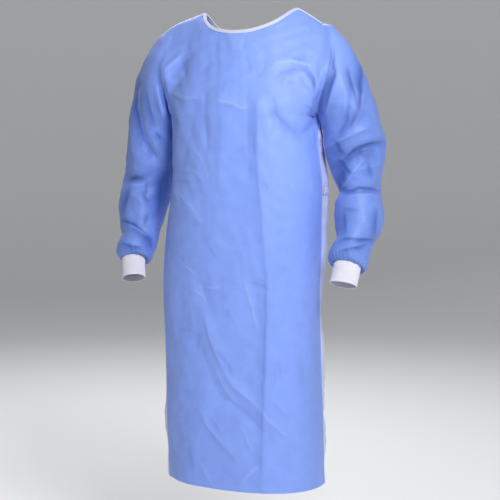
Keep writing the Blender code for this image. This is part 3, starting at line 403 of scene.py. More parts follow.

# Fine creases as the viewpoint sees them on the upright plate: height and width in millimetres,
# whether the ridge line gets a painted highlight, and its path across and up the plate in millimetres.
# Valley creases also get painted shade along them.
CREASE_COLUMNS = ("piece", "height", "width", "pale_highlight", "path")
CREASES = (
    ("front", -1.6, 6, 0, ((-215, -141), (-193, -121), (-173, -101))),
    ("front", -1.4, 6, 0, ((-207, -161), (-178, -141), (-148, -119))),
    ("front", 1.2, 5, 1, ((-210, -151), (-183, -128), (-158, -106))),
    ("front", -1.2, 5, 0, ((-203, -170), (-175, -158))),
    ("front", -1.3, 5, 0, ((-205, -183), (-185, -188), (-163, -185))),
    ("front", 1.2, 5, 1, ((-200, -203), (-161, -215), (-124, -215))),
    ("front", -1.2, 5, 0, ((-195, -210), (-163, -230))),
    ("front", -1.4, 7, 0, ((-198, -220), (-193, -249), (-183, -284))),
    ("front", -1, 6, 0, ((-111, -207), (-109, -269), (-106, -333))),
    ("front", -0.8, 6, 0, ((-74, -249), (-74, -304), (-74, -363))),
    ("front", -0.9, 7, 0, ((-124, -161), (-109, -143), (-94, -126))),
    ("front", -0.8, 6, 0, ((-62, -170), (-69, -210))),
    ("front", 0.9, 6, 1, ((-94, -220), (-54, -225), (-25, -240), (-5, -240))),
    ("front", -0.7, 6, 0, ((-89, -232), (-49, -237), (-30, -249))),
    ("front", -1, 14, 0, ((7, -230), (12, -319), (-5, -403))),
    ("front", -0.9, 5, 0, ((-12, -111), (5, -156))),
    ("front", -0.8, 5, 0, ((10, -141), (25, -165))),
    ("front", -0.8, 5, 0, ((40, -126), (25, -156))),
    ("front", 0.8, 5, 1, ((-153, -329), (-124, -358), (-104, -408), (-114, -422))),
    ("front", 0.8, 5, 1, ((-173, -390), (-138, -393), (-114, -417))),
    ("front", 1.3, 4, 1, ((-193, -437), (-168, -462), (-143, -487), (-128, -514))),
    ("front", -0.8, 5, 0, ((-183, -422), (-148, -420))),
    ("front", -0.7, 5, 0, ((-153, -445), (-126, -442))),
    ("front", -0.7, 6, 0, ((-44, -343), (-15, -338))),
    ("front", -0.7, 8, 0, ((30, -417), (44, -442))),
    ("front", 1.8, 9, 1, ((49, -151), (64, -131), (104, -126), (143, -136), (163, -170), (161, -210))),
    ("front", -1.6, 6, 0, ((59, -170), (74, -151), (104, -141), (133, -148), (151, -170), (151, -200))),
    ("front", -1.6, 7, 0, ((57, -215), (64, -259), (94, -289), (124, -304), (158, -289))),
    ("front", 1.2, 8, 0, ((74, -249), (99, -272), (128, -284), (153, -269))),
    ("front", 1.4, 14, 0, ((17, -232), (15, -343), (30, -520), (44, -688), (35, -985), (27, -1190))),
    ("front", 0.8, 4, 0, ((74, -185), (89, -165), (104, -180))),
    ("front", -0.8, 5, 0, ((84, -190), (99, -175), (116, -185))),
    ("front", 0.6, 4, 0, ((99, -200), (116, -180), (124, -195))),
    ("front", -1.1, 4, 0, ((124, -161), (133, -185), (143, -200))),
    ("front", -0.9, 6, 0, ((99, -111), (128, -121))),
    ("front", -0.7, 6, 0, ((74, -86), (114, -91))),
    ("front", 1.2, 6, 0, ((168, -121), (173, -170), (168, -210))),
    ("front", -1.4, 6, 0, ((146, -151), (158, -180), (163, -215))),
    ("front", -1.2, 5, 0, ((138, -230), (156, -249), (163, -279))),
    ("front", -1, 5, 0, ((168, -314), (178, -343))),
    ("front", 1.3, 4, 1, ((-173, -620), (-153, -637), (-124, -657))),
    ("front", 1.1, 5, 1, ((-158, -682), (-133, -694), (-114, -709), (-106, -734))),
    ("front", 1.1, 5, 1, ((-114, -684), (-74, -684))),
    ("front", -0.9, 5, 0, ((-104, -576), (-94, -595), (-84, -610))),
    ("front", -0.9, 5, 0, ((-133, -664), (-124, -674))),
    ("front", 1.2, 5, 1, ((-15, -664), (5, -734), (17, -798))),
    ("front", -1.2, 6, 0, ((-10, -667), (20, -677), (49, -689))),
    ("front", -1.1, 6, 0, ((15, -689), (22, -743), (25, -788))),
    ("front", -0.8, 6, 0, ((79, -630), (94, -640))),
    ("front", 1, 14, 0, ((138, -576), (133, -620))),
    ("front", -0.8, 5, 0, ((-178, -783), (-143, -790))),
    ("front", -0.9, 6, 0, ((-124, -793), (-133, -842))),
    ("front", -0.8, 6, 0, ((-59, -734), (-54, -768))),
    ("front", 1.6, 5, 1, ((-109, -763), (-101, -803), (-84, -852), (-64, -887))),
    ("front", 1.4, 5, 1, ((-64, -887), (-47, -926), (-5, -961), (25, -990))),
    ("front", 1.4, 4, 1, ((25, -990), (49, -1020), (74, -1045), (99, -1062))),
    ("front", 1.1, 6, 1, ((-94, -862), (-74, -911), (-54, -951), (-25, -981))),
    ("front", -1.2, 6, 0, ((-89, -837), (-64, -867), (-44, -902))),
    ("front", -0.9, 5, 0, ((-54, -867), (-49, -906))),
    ("front", 1.4, 6, 1, ((-124, -990), (-109, -1025), (-84, -1060), (-54, -1094), (-25, -1124))),
    ("front", -1, 6, 0, ((-109, -1005), (-84, -1035), (-64, -1070))),
    ("front", 1.1, 5, 1, ((-25, -1025), (-5, -1070), (10, -1104))),
    ("front", 1.2, 4, 1, ((-124, -1129), (-109, -1158), (-94, -1178))),
    ("front", -0.9, 5, 0, ((44, -966), (74, -990), (94, -1015))),
    ("front", -0.9, 5, 0, ((59, -872), (64, -911), (59, -941))),
    ("front", -0.7, 5, 0, ((72, -867), (77, -916))),
    ("front", -0.7, 5, 0, ((-173, -941), (-143, -944))),
    ("front", -0.8, 7, 0, ((128, -842), (133, -966))),
    ("front", 0.7, 7, 0, ((109, -714), (114, -837))),
    ("front", -0.8, 6, 0, ((-153, -1079), (-143, -1149))),
    ("front", 1, 6, 1, ((20, -1134), (-10, -1163), (-25, -1183))),
    ("front", 1.6, 8, 0, ((40, -620), (42, -760), (35, -985), (27, -1190))),
    ("front", -1.1, 13, 0, ((36, -600), (38, -760), (31, -985), (23, -1190))),
    ("front", -0.7, 12, 0, ((13, -225), (11, -343), (24, -500), (34, -600))),
    ("front", -1.4, 17, 0, ((176, -270), (186, -420), (185, -640), (182, -900), (180, -1150))),
    ("front", -1.6, 8, 0, ((196, -90), (202, -150), (186, -206), (170, -250))),
    ("front", -1.5, 6, 0, ((136, -150), (154, -183), (157, -220), (160, -250))),
    ("front", -1.6, 7, 0, ((-214, -120), (-214, -160), (-206, -207), (-196, -260), (-192, -380))),
    ("front", -1.3, 5, 0, ((-203, -232), (-190, -262), (-168, -282))),
    ("sleeve_left", -1.9, 8, 0, ((203, -100), (208, -160), (192, -206), (176, -262))),
    ("sleeve_left", 1.0, 6, 1, ((216, -150), (207, -190), (194, -230), (182, -262))),
    ("sleeve_right", -2.6, 7, 0, ((-211, -120), (-215, -160), (-205, -207), (-196, -250))),
    ("sleeve_left", -1.8, 7, 0, ((270, -109), (273, -160), (272, -243), (252, -271), (233, -296))),
    ("sleeve_left", 1.6, 7, 1, ((188, -338), (237, -309), (287, -289))),
    ("sleeve_left", -2.2, 7, 0, ((338, -319), (301, -329), (272, -338), (237, -363), (207, -393))),
    ("sleeve_left", -2.2, 13, 0, ((246, -352), (277, -345), (316, -338))),
    ("sleeve_left", -2.0, 12, 0, ((212, -372), (226, -398), (232, -432))),
    ("sleeve_left", -2.0, 8, 0, ((205, -318), (218, -345), (238, -362))),
    ("sleeve_left", -2, 6, 0, ((212, -363), (232, -388), (252, -403))),
    ("sleeve_left", 1.8, 6, 1, ((222, -447), (252, -398), (287, -363))),
    ("sleeve_left", -1.8, 6, 0, ((207, -408), (232, -447))),
    ("sleeve_left", -2.2, 5, 0, ((222, -450), (267, -437), (326, -442))),
    ("sleeve_left", 1, 6, 1, ((227, -462), (272, -452), (321, -457))),
    ("sleeve_left", -1.2, 7, 0, ((230, -487), (235, -556))),
    ("sleeve_left", -1.2, 7, 0, ((314, -482), (306, -566))),
    ("sleeve_left", -0.9, 5, 0, ((222, -487), (267, -492))),
    ("sleeve_left", -2.2, 5, 0, ((215, -571), (237, -561), (321, -566))),
    ("sleeve_left", -1.6, 5, 0, ((217, -595), (252, -585), (294, -573))),
    ("sleeve_left", -1.4, 6, 0, ((237, -136), (252, -180), (262, -230))),
    ("sleeve_left", 1.1, 6, 1, ((222, -161), (235, -210), (232, -259))),
    ("sleeve_left", -1, 6, 0, ((247, -230), (237, -269), (217, -304))),
    ("sleeve_left", -1.2, 6, 0, ((296, -368), (301, -412))),
    ("sleeve_left", 1, 8, 0, ((282, -482), (277, -546))),
    ("sleeve_right", -2, 6, 0, ((-269, -141), (-279, -240), (-259, -319), (-235, -353), (-217, -368))),
    ("sleeve_right", 1.8, 6, 1, ((-230, -180), (-222, -220), (-212, -264))),
    ("sleeve_right", -2.4, 16, 0, ((-206, -385), (-216, -430), (-222, -480), (-228, -520))),
    ("sleeve_right", -1.6, 12, 0, ((-272, -150), (-281, -190), (-288, -235))),
    ("sleeve_right", -1.8, 9, 0, ((-300, -522), (-268, -540), (-246, -565), (-243, -596))),
    ("sleeve_right", 1.2, 5, 1, ((-240, -314), (-227, -338))),
    ("sleeve_right", -1.4, 5, 0, ((-232, -299), (-212, -319))),
    ("sleeve_right", -2.2, 5, 0, ((-311, -420), (-282, -410), (-247, -412))),
    ("sleeve_right", 1.2, 6, 1, ((-301, -427), (-257, -427))),
    ("sleeve_right", -1.6, 6, 0, ((-252, -417), (-257, -457), (-242, -482))),
    ("sleeve_right", 0.8, 5, 1, ((-316, -521), (-272, -541), (-252, -556))),
    ("sleeve_right", -1.8, 5, 0, ((-324, -514), (-287, -526), (-252, -546))),
    ("sleeve_right", -1.4, 6, 0, ((-294, -432), (-306, -467), (-316, -506))),
    ("sleeve_right", -1.6, 5, 0, ((-321, -571), (-291, -580), (-262, -580))),
    ("sleeve_right", -1.2, 6, 0, ((-257, -190), (-247, -245), (-232, -294))),
    ("sleeve_right", 1, 6, 1, ((-296, -269), (-287, -343), (-277, -388))),
    ("sleeve_right", -1.2, 6, 0, ((-247, -492), (-257, -521), (-272, -536))),
)


def column(names, rows, name):
    """One named column of a table."""
    return np.array([row[names.index(name)] for row in rows], float)


def columns(names, rows, wanted):
    """Several named columns of a table, side by side."""
    return np.stack([column(names, rows, name) for name in wanted], axis=-1)


def cubic(keys, values, at):
    """A smooth curve through values at rising keys, read at the places in at."""
    keys, values, at = np.asarray(keys, float), np.asarray(values, float), np.asarray(at, float)
    slopes = np.gradient(values, keys, axis=0)
    i = np.clip(np.searchsorted(keys, at, side="right") - 1, 0, len(keys) - 2)
    step = keys[i + 1] - keys[i]
    s = (at - keys[i]) / step
    if values.ndim > 1:
        s, step = s[..., None], step[..., None]
    return hermite(s, values[i], values[i + 1], slopes[i] * step, slopes[i + 1] * step)


def hermite(s, start, end, leave, arrive):
    """The cubic from start to end that leaves and arrives along the given vectors."""
    return (
        (2 * s**3 - 3 * s**2 + 1) * start
        + (s**3 - 2 * s**2 + s) * leave
        + (3 * s**2 - 2 * s**3) * end
        + (s**3 - s**2) * arrive
    )


def ease(x):
    """0 below 0, 1 above 1 and smooth between."""
    x = np.clip(x, 0.0, 1.0)
    return x * x * (3 - 2 * x)


def unit(v):
    return v / np.maximum(np.linalg.norm(v, axis=-1, keepdims=True), 1e-12)


def soft(x, power):
    """A power of x's size that keeps its sign."""
    return np.sign(x) * np.abs(x) ** power


def noise(points, size, seed):
    """Smooth noise from -1 to 1 over points in space, with features about size metres wide."""
    p = np.asarray(points, float) / size
    low = np.floor(p).astype(np.int64)
    f = p - low
    f = f * f * f * (f * (f * 6 - 15) + 10)
    total = np.zeros(p.shape[:-1])
    for corner in range(8):
        offset = np.array([corner & 1, corner >> 1 & 1, corner >> 2 & 1])
        x, y, z = np.moveaxis(low + offset, -1, 0)
        h = (x * 73856093) ^ (y * 19349663) ^ (z * 83492791) ^ (seed * 2654435761)
        h = (h ^ (h >> 13)) * 1274126177 & 0x7FFFFFFF
        value = (h ^ (h >> 16)) % 65536 / 32767.5 - 1
        share = np.where(offset == 1, f, 1 - f).prod(axis=-1)
        total += value * share
    return total


def facets(points, size, seed, along, waves):
    """Creased cloth from about -1 to 1: flat facets that meet in sharp straight lines.

    It adds folded waves across several directions. Each fades in and out over the cloth, and most
    of them lie across the direction in along.
    """
    draws = np.random.default_rng(seed)
    total = np.zeros(points.shape[:-1])
    for wave in range(waves):
        way = unit(draws.normal(size=3) + np.array(along) * draws.choice([-1.3, 1.3]))
        pitch = size * draws.uniform(0.6, 1.5)
        bend = 0.45 * noise(points, size * 2.4, seed + wave)
        phase = points @ way / pitch + draws.uniform() + bend
        gate = ease(0.35 + 1.5 * noise(points, size * 1.7, seed + 20 + wave))
        total += (1 - 4 * np.abs(phase - np.round(phase))) * gate * pitch / size
    return total / math.sqrt(waves) * 1.4


def body_point(angle_deg, height):
    """A point of the body's outside, at an angle from the wearer's left and a height."""
    angle_deg, height = np.broadcast_arrays(np.asarray(angle_deg, float), np.asarray(height, float))
    order = np.argsort(column(BODY_COLUMNS, BODY_SECTIONS, "height"))
    rows = [BODY_SECTIONS[i] for i in order]
    keys = column(BODY_COLUMNS, rows, "height")
    values = columns(BODY_COLUMNS, rows, BODY_COLUMNS[1:])
    mid_x, mid_y, half, front, back, square = np.moveaxis(cubic(keys, values, height), -1, 0)
    c, s = np.cos(np.radians(angle_deg)), np.sin(np.radians(angle_deg))
    depth = np.where(s < 0, front, back)
    x = mid_x + half * np.sign(c) * np.abs(c) ** (2 / square)
    y = mid_y + depth * np.sign(s) * np.abs(s) ** (2 / square)
    drop = ease((UNDERARM_HEIGHT - height) / (UNDERARM_HEIGHT - HEM_HEIGHT)) * HEM_TILT * x
    return np.stack([x, y, height + drop], axis=-1)


def seam_angle(name, height):
    keys = column(SEAM_COLUMNS, SIDE_SEAMS, "height")
    return cubic(keys, column(SEAM_COLUMNS, SIDE_SEAMS, name), height)


def normals_of(grid, round_the_end=False):
    """Outward normals of a grid of points, rows going up and columns going round."""
    up = np.gradient(grid, axis=0)
    if round_the_end:
        padded = np.concatenate([grid[:, -1:], grid, grid[:, :1]], axis=1)
        across = (padded[:, 2:] - padded[:, :-2]) / 2
    else:
        across = np.gradient(grid, axis=1)
    return unit(np.cross(across, up))


def trim(grid, edge, by):
    """Takes a grid's edge back along the cloth, to leave a seam's gap."""
    if edge == "first_column":
        grid[:, 0] += unit(grid[:, 1] - grid[:, 0]) * by
    elif edge == "last_column":
        grid[:, -1] += unit(grid[:, -2] - grid[:, -1]) * by
    elif edge == "first_row":
        grid[0] += unit(grid[1] - grid[0]) * by
    else:
        grid[-1] += unit(grid[-2] - grid[-1]) * by


def mitre(first, second):
    """Gives two meeting edges one direction of thickness, unless they face each other."""
    share = (first * second).sum(-1, keepdims=True) > 0.1
    both = unit(first + second)
    first[:] = np.where(share, both, first)
    second[:] = np.where(share, both, second)


def measured(grid, round_the_end=False):
    """Lengths in metres round and along a grid, one for each column and one for each row."""
    around = np.concatenate([grid, grid[:, :1]], axis=1) if round_the_end else grid
    u = np.linalg.norm(np.diff(around, axis=1), axis=2).mean(axis=0)
    v = np.linalg.norm(np.diff(grid, axis=0), axis=2).mean(axis=1)
    return np.concatenate([[0], np.cumsum(u)]), np.concatenate([[0], np.cumsum(v)])


def new_piece(name, vertices, faces, uvs, materials, face_materials=None, marks=None):
    """A smooth mesh object with a UV map in metres, and optional values at its vertices."""
    mesh = bpy.data.meshes.new(name)
    mesh.from_pydata(np.asarray(vertices).tolist(), [], faces)
    mesh.update()
    mesh.shade_smooth()
    for material in materials:
        mesh.materials.append(material)
    if face_materials is not None:
        mesh.polygons.foreach_set("material_index", np.asarray(face_materials, np.int32))
    if uvs is not None:
        layer = mesh.uv_layers.new(name="UVMap")
        layer.data.foreach_set("uv", np.asarray(uvs, np.float32).ravel())
    for mark, values in (marks or {}).items():
        attribute = mesh.attributes.new(mark, "FLOAT", "POINT")
        attribute.data.foreach_set("value", np.asarray(values, np.float32).ravel())
    obj = bpy.data.objects.new(name, mesh)
    bpy.context.scene.collection.objects.link(obj)
    return obj


def shell(name, grid, normals, thickness, materials, round_the_end=False, marks=None):
    """A thin closed shell between a grid of outside points and the same points moved inwards.

    Its shading follows the given directions, so it runs on across the seams, and its rims are flat.
    """
    rows, cols = grid.shape[:2]
    inside = grid - normals * thickness
    vertices = np.concatenate([grid.reshape(-1, 3), inside.reshape(-1, 3)])
    count = rows * cols
    u, v = measured(grid, round_the_end)
    spans = cols if round_the_end else cols - 1
    i, j = np.meshgrid(np.arange(rows - 1), np.arange(spans), indexing="ij")
    i, j = i.ravel(), j.ravel()
    k = (j + 1) % cols
    outer = np.stack([i * cols + j, i * cols + k, (i + 1) * cols + k, (i + 1) * cols + j], axis=1)
    outer_uv = np.stack([u[j], v[i], u[j + 1], v[i], u[j + 1], v[i + 1], u[j], v[i + 1]], axis=1)
    outer_uv = outer_uv.reshape(-1, 4, 2)
    faces, uvs = [outer, outer[:, ::-1] + count], [outer_uv, outer_uv[:, ::-1]]
    indices = [np.zeros(len(outer)), np.ones(len(outer))]
    rims = []
    j = np.arange(spans)
    k = (j + 1) % cols
    top = (rows - 1) * cols
    rims.append((k, j, u[j + 1], u[j], v[0] + 0 * u[j], v[0] + 0 * u[j]))
    rims.append((top + j, top + k, u[j], u[j + 1], v[-1] + 0 * u[j], v[-1] + 0 * u[j]))
    if not round_the_end:
        i = np.arange(rows - 1)
        left, right = i * cols, i * cols + cols - 1
        rims.append((left, left + cols, u[0] + 0 * v[i], u[0] + 0 * v[i], v[i], v[i + 1]))
        rims.append((right + cols, right, u[-1] + 0 * v[i], u[-1] + 0 * v[i], v[i + 1], v[i]))
    for a, b, ua, ub, va, vb in rims:
        faces.append(np.stack([a, b, b + count, a + count], axis=1))
        uvs.append(np.stack([ua, va, ub, vb, ub, vb, ua, va], axis=1).reshape(-1, 4, 2))
        indices.append(np.zeros(len(a)))
    doubled = {mark: np.concatenate([x.ravel(), x.ravel()]) for mark, x in (marks or {}).items()}
    faces = np.concatenate(faces).astype(int)
    piece = new_piece(name, vertices, faces.tolist(), np.concatenate(uvs), materials, np.concatenate(indices), doubled)
    directions = np.concatenate([normals.reshape(-1, 3), -normals.reshape(-1, 3)])
    corners = directions[faces]
    on_faces = 2 * len(outer)
    flat = vertices[faces[on_faces:]]
    corners[on_faces:] = unit(np.cross(flat[:, 2] - flat[:, 0], flat[:, 3] - flat[:, 1]))[:, None]
    piece.data.normals_split_custom_set(corners.reshape(-1, 3).tolist())
    return piece


def armhole(rows, share):
    """Points of an armhole, by their share of the way round from the underarm."""
    keys = column(ARMHOLE_COLUMNS, rows, "share")
    points = columns(ARMHOLE_COLUMNS, rows, ("x", "y", "z"))
    keys = np.concatenate([[keys[-2] - 1], keys, [keys[1] + 1]])
    points = np.concatenate([points[-2:-1], points, points[1:2]])
    return cubic(keys, points, share)


def shoulder_seam(neck, tip, shares):
    """The seam from the neck to the tip of a shoulder, bowed upwards a little."""
    shares = shares[:, None]
    bow = np.array([0.0, 0.0, SHOULDER_BOW])
    return neck + (tip - neck) * shares + bow * 4 * shares * (1 - shares)


def top_edge(top_rows, shares, neck_shares):
    """The top edge of a panel, its shoulder ends on the seams that front and back share."""
    keys = column(TOP_COLUMNS, top_rows, "share")
    points = columns(TOP_COLUMNS, top_rows, ("x", "y", "z"))
    top = cubic(keys, points, shares)
    for tip, neck_share in ((0, neck_shares[0]), (-1, neck_shares[1])):
        neck = points[np.argmin(abs(keys - neck_share))]
        part = (shares - neck_share) / (keys[tip] - neck_share)
        on_seam = part >= -1e-9
        top[on_seam] = shoulder_seam(neck, points[tip], part[on_seam])
    return top


def yoke(top_rows, neck_shares, shares, angles, first_edge, last_edge, steps):
    """The body above the underarm: columns from the underarm level to the top edge."""
    keys = column(TOP_COLUMNS, top_rows, "share")
    top = top_edge(top_rows, shares, neck_shares)
    arrive = cubic(keys, columns(TOP_COLUMNS, top_rows, ("along_x", "along_y", "along_z")), shares)
    foot = body_point(angles, UNDERARM_HEIGHT)
    leave = (foot - body_point(angles, UNDERARM_HEIGHT - 0.01)) / 0.01 * 0.2
    steps = steps[:, None, None]
    grid = hermite(steps, foot[None], top[None], leave[None], arrive[None])
    ends = [(0, first_edge, np.abs(shares - shares[0])), (-1, last_edge, np.abs(shares - shares[-1]))]
    moves = []
    for index, edge, away in ends:
        if edge is not None:
            reach = (1 - ease(away / 0.30))[None, :, None]
            moves.append(reach * (edge - grid[:, index])[:, None])
    return grid + sum(moves)


def yoke_steps():
    return np.linspace(0, 1, YOKE_ROWS + 1)


def body_heights():
    return np.linspace(HEM_HEIGHT, UNDERARM_HEIGHT, BODY_ROWS + 1)


def front_shares():
    return np.concatenate(
        [
            np.linspace(0, RIGHT_NECK_SHARE, SHOULDER_COLUMNS + 1),
            np.linspace(RIGHT_NECK_SHARE, LEFT_NECK_SHARE, FRONT_NECK_COLUMNS + 1)[1:],
            np.linspace(LEFT_NECK_SHARE, 1, SHOULDER_COLUMNS + 1)[1:],
        ]
    )


def front_grid():
    shares = front_shares()
    heights = body_heights()[:, None]
    right, left = seam_angle("right_deg", heights), seam_angle("left_deg", heights) + 360
    lower = body_point(right + (left - right) * shares[None], heights)
    steps = yoke_steps()
    upper = yoke(
        FRONT_TOP,
        (RIGHT_NECK_SHARE, LEFT_NECK_SHARE),
        shares,
        180 + 180 * shares,
        armhole(RIGHT_ARMHOLE, steps * 0.5),
        armhole(LEFT_ARMHOLE, steps * 0.5),
        steps,
    )
    return np.concatenate([lower[:-1], upper])


def back_shares(side):
    """Where a back panel's columns stand, as shares of the way from the left seam to the right."""
    reach = BACK_OVERLAP_DEG / 180
    if side == "left":
        seam_part = np.linspace(0, BACK_LEFT_NECK_SHARE, SHOULDER_COLUMNS + 1)
        neck_part = np.linspace(BACK_LEFT_NECK_SHARE, 0.5 + reach, BACK_NECK_COLUMNS + 1)
        return np.concatenate([seam_part, neck_part[1:]])
    seam_part = np.linspace(BACK_RIGHT_NECK_SHARE, 1, SHOULDER_COLUMNS + 1)
    neck_part = np.linspace(0.5 - reach, BACK_RIGHT_NECK_SHARE, BACK_NECK_COLUMNS + 1)
    return np.concatenate([neck_part, seam_part[1:]])


def back_grid(side):
    """Half of the back, from its side seam or its free edge, going round to the wearer's right."""
    middle = 0.5
    shares = back_shares(side)
    heights = body_heights()[:, None]
    left, right = seam_angle("left_deg", heights), seam_angle("right_deg", heights)
    first = (180 * shares)[None]
    near = np.where(shares < middle, left * (1 - shares / middle), (right - 180) * (shares / middle - 1))
    lower = body_point(first + near, heights)
    steps = yoke_steps()
    edges = [armhole(LEFT_ARMHOLE, 1 - steps * 0.5), None]
    if side == "right":
        edges = [None, armhole(RIGHT_ARMHOLE, 1 - steps * 0.5)]
    necks = (BACK_LEFT_NECK_SHARE, BACK_RIGHT_NECK_SHARE)
    upper = yoke(BACK_TOP, necks, shares, 180 * shares, edges[0], edges[1], steps)
    grid = np.concatenate([lower[:-1], upper])
    if side == "left":
        past = (180 * shares - (90 - BACK_OVERLAP_DEG - OVERLAP_RAMP_DEG)) / (OVERLAP_RAMP_DEG - 1)
        grid = grid + normals_of(grid) * (OVERLAP_LIFT * ease(past))[None, :, None]
    return grid


def ring_frame(path):
    """The ways out, ahead and along at each point of a path that runs down an arm."""
    along = unit(np.gradient(path, axis=0))
    sideways = np.array([1.0, 0.0, 0.0]) * np.sign(path[0, 0])
    out = unit(sideways - along * (along @ sideways)[:, None])
    ahead = np.cross(along, out)
    ahead = ahead * np.where(ahead[:, 1:2] < 0, 1, -1)
    return out, ahead, along


def tube(names, rows, samples, turns):
    """Rings of a tube through a table of sections, each ring read at the angles in turns."""
    keys = column(names, rows, "share")
    values = cubic(keys, columns(names, rows, names[1:]), samples)
    path, half_width, half_depth = values[:, :3], values[:, 3], values[:, 4]
    droop = values[:, 5] if "droop" in names else np.zeros(len(samples))
    places = np.linspace(0, 1, 200)
    fine = cubic(keys, columns(names, rows, names[1:4]), places)
    out, ahead, along = (
        unit(np.stack([np.interp(samples, places, way[:, axis]) for axis in range(3)], axis=1))
        for way in ring_frame(fine)
    )
    c, s = np.cos(turns)[None, :, None], np.sin(turns)[None, :, None]
    grid = path[:, None] + out[:, None] * half_width[:, None, None] * c
    grid = grid + ahead[:, None] * half_depth[:, None, None] * s
    return grid + along[:, None] * droop[:, None, None] * ((1 - s) / 2) ** 0.7, along


def sleeve_turns(steps):
    """Angles round a sleeve that match the armhole's points: underarm, front, shoulder, back."""
    up_the_front = math.pi * (1 - steps)
    down_the_back = -math.pi * (1 - steps[::-1][1:-1])
    return np.concatenate([up_the_front, down_the_back])


def cuff_grid(side, turns, rows=CUFF_ROWS):
    """A cuff, its columns at the given turns."""
    table = LEFT_CUFF if side == "left" else RIGHT_CUFF
    return tube(CUFF_COLUMNS, table, np.linspace(0, 1, rows + 1), turns)[0]


def sleeve_grid(side):
    """A sleeve from armhole to cuff, and where round the armhole each of its columns starts."""
    hole, rows = (LEFT_ARMHOLE, LEFT_SLEEVE) if side == "left" else (RIGHT_ARMHOLE, RIGHT_SLEEVE)
    steps = yoke_steps()
    shares = np.concatenate([steps * 0.5, 1 - steps[::-1][1:-1] * 0.5])
    start = armhole(hole, shares)
    turns = sleeve_turns(steps)
    samples = np.linspace(0, 1, SLEEVE_TUBE_ROWS + 1)
    rings, along = tube(SLEEVE_COLUMNS, rows, samples, turns)
    end = cuff_grid(side, turns)[0]
    end = end + unit(end - end.mean(axis=0)) * LYING_GAP
    rings = rings + (end - rings[-1])[None] * ease((samples - 0.95) / 0.05)[:, None, None]
    _, top_x, top_z, under_x, under_z, stretch = next(row for row in SLEEVE_LEAVES if row[0] == side)
    over_the_top = unit(np.array([top_x, 0.0, top_z]))
    under_the_arm = unit(np.array([under_x, 0.0, under_z]))
    share_up = ((1 + np.cos(turns)) / 2)[:, None]
    leave = unit(under_the_arm * (1 - share_up) + over_the_top * share_up)
    length = np.linalg.norm(rings[0] - start, axis=1, keepdims=True) * stretch
    way_down = np.linspace(0, 1, SLEEVE_CAP_ROWS + 1)[:, None, None]
    cap = hermite(way_down, start[None], rings[0][None], (leave * length)[None], (along[0] * length)[None])
    grid = np.concatenate([cap[:-1], rings])
    if tube_faces_inwards(grid):
        return grid[:, ::-1].copy(), shares[::-1]
    return grid, shares


def tube_faces_inwards(grid):
    """Whether a tube's columns run the wrong way round for its normals to point outwards."""
    normals = normals_of(grid, round_the_end=True)
    middle = grid.mean(axis=1, keepdims=True)
    return ((grid - middle) * normals).sum(-1)[1:-1].mean() < 0


def plate(points, azimuth_deg):
    """Where the viewpoint sees points, on an upright plate through the origin that faces it."""
    turn = math.radians(azimuth_deg)
    right = np.array([math.cos(turn), math.sin(turn), 0.0])
    ahead = np.array([-math.sin(turn), math.cos(turn), 0.0])
    away = points @ ahead + VIEW_DISTANCE
    across = points @ right / away * VIEW_DISTANCE
    return np.stack([across, VIEW_HEIGHT + (points[..., 2] - VIEW_HEIGHT) / away * VIEW_DISTANCE], axis=-1)


def along_path(points, path):
    """Distances from a line of straight lengths, which side is lit, and the share along the line."""
    path = np.asarray(path, float)
    best = np.full(points.shape[:-1], np.inf)
    lit, share = np.zeros_like(best), np.zeros_like(best)
    lengths = np.linalg.norm(np.diff(path, axis=0), axis=1)
    before = 0.0
    for start, end, length in zip(path[:-1], path[1:], lengths):
        way = (end - start) / length
        at = np.clip((points - start) @ way, 0, length)
        away = points - start - at[..., None] * way
        size = np.linalg.norm(away, axis=-1)
        nearer = size < best
        best = np.where(nearer, size, best)
        lit = np.where(nearer, away @ np.array(LIT_FROM), lit)
        share = np.where(nearer, (before + at) / lengths.sum(), share)
        before += length
    return best, lit, share


def facing(normals, azimuth_deg):
    """How much each normal faces the viewpoint at an azimuth, from 0 to 1."""
    turn = math.radians(azimuth_deg)
    toward = np.array([math.sin(turn), -math.cos(turn), 0.0])
    return ease((normals @ toward) / 0.5)


def fold_heights(points, normals, piece, folds, azimuth_deg):
    """How far the broad folds of one side lift or sink each point that faces that side."""
    seen = plate(points, azimuth_deg)
    total = np.zeros(points.shape[:-1])
    for row in folds:
        if row[0] == piece:
            away = along_path(seen, row[3])[0]
            total += row[1] * np.exp(-((away / row[2]) ** FOLD_SHARPNESS))
    return total * facing(normals, azimuth_deg)


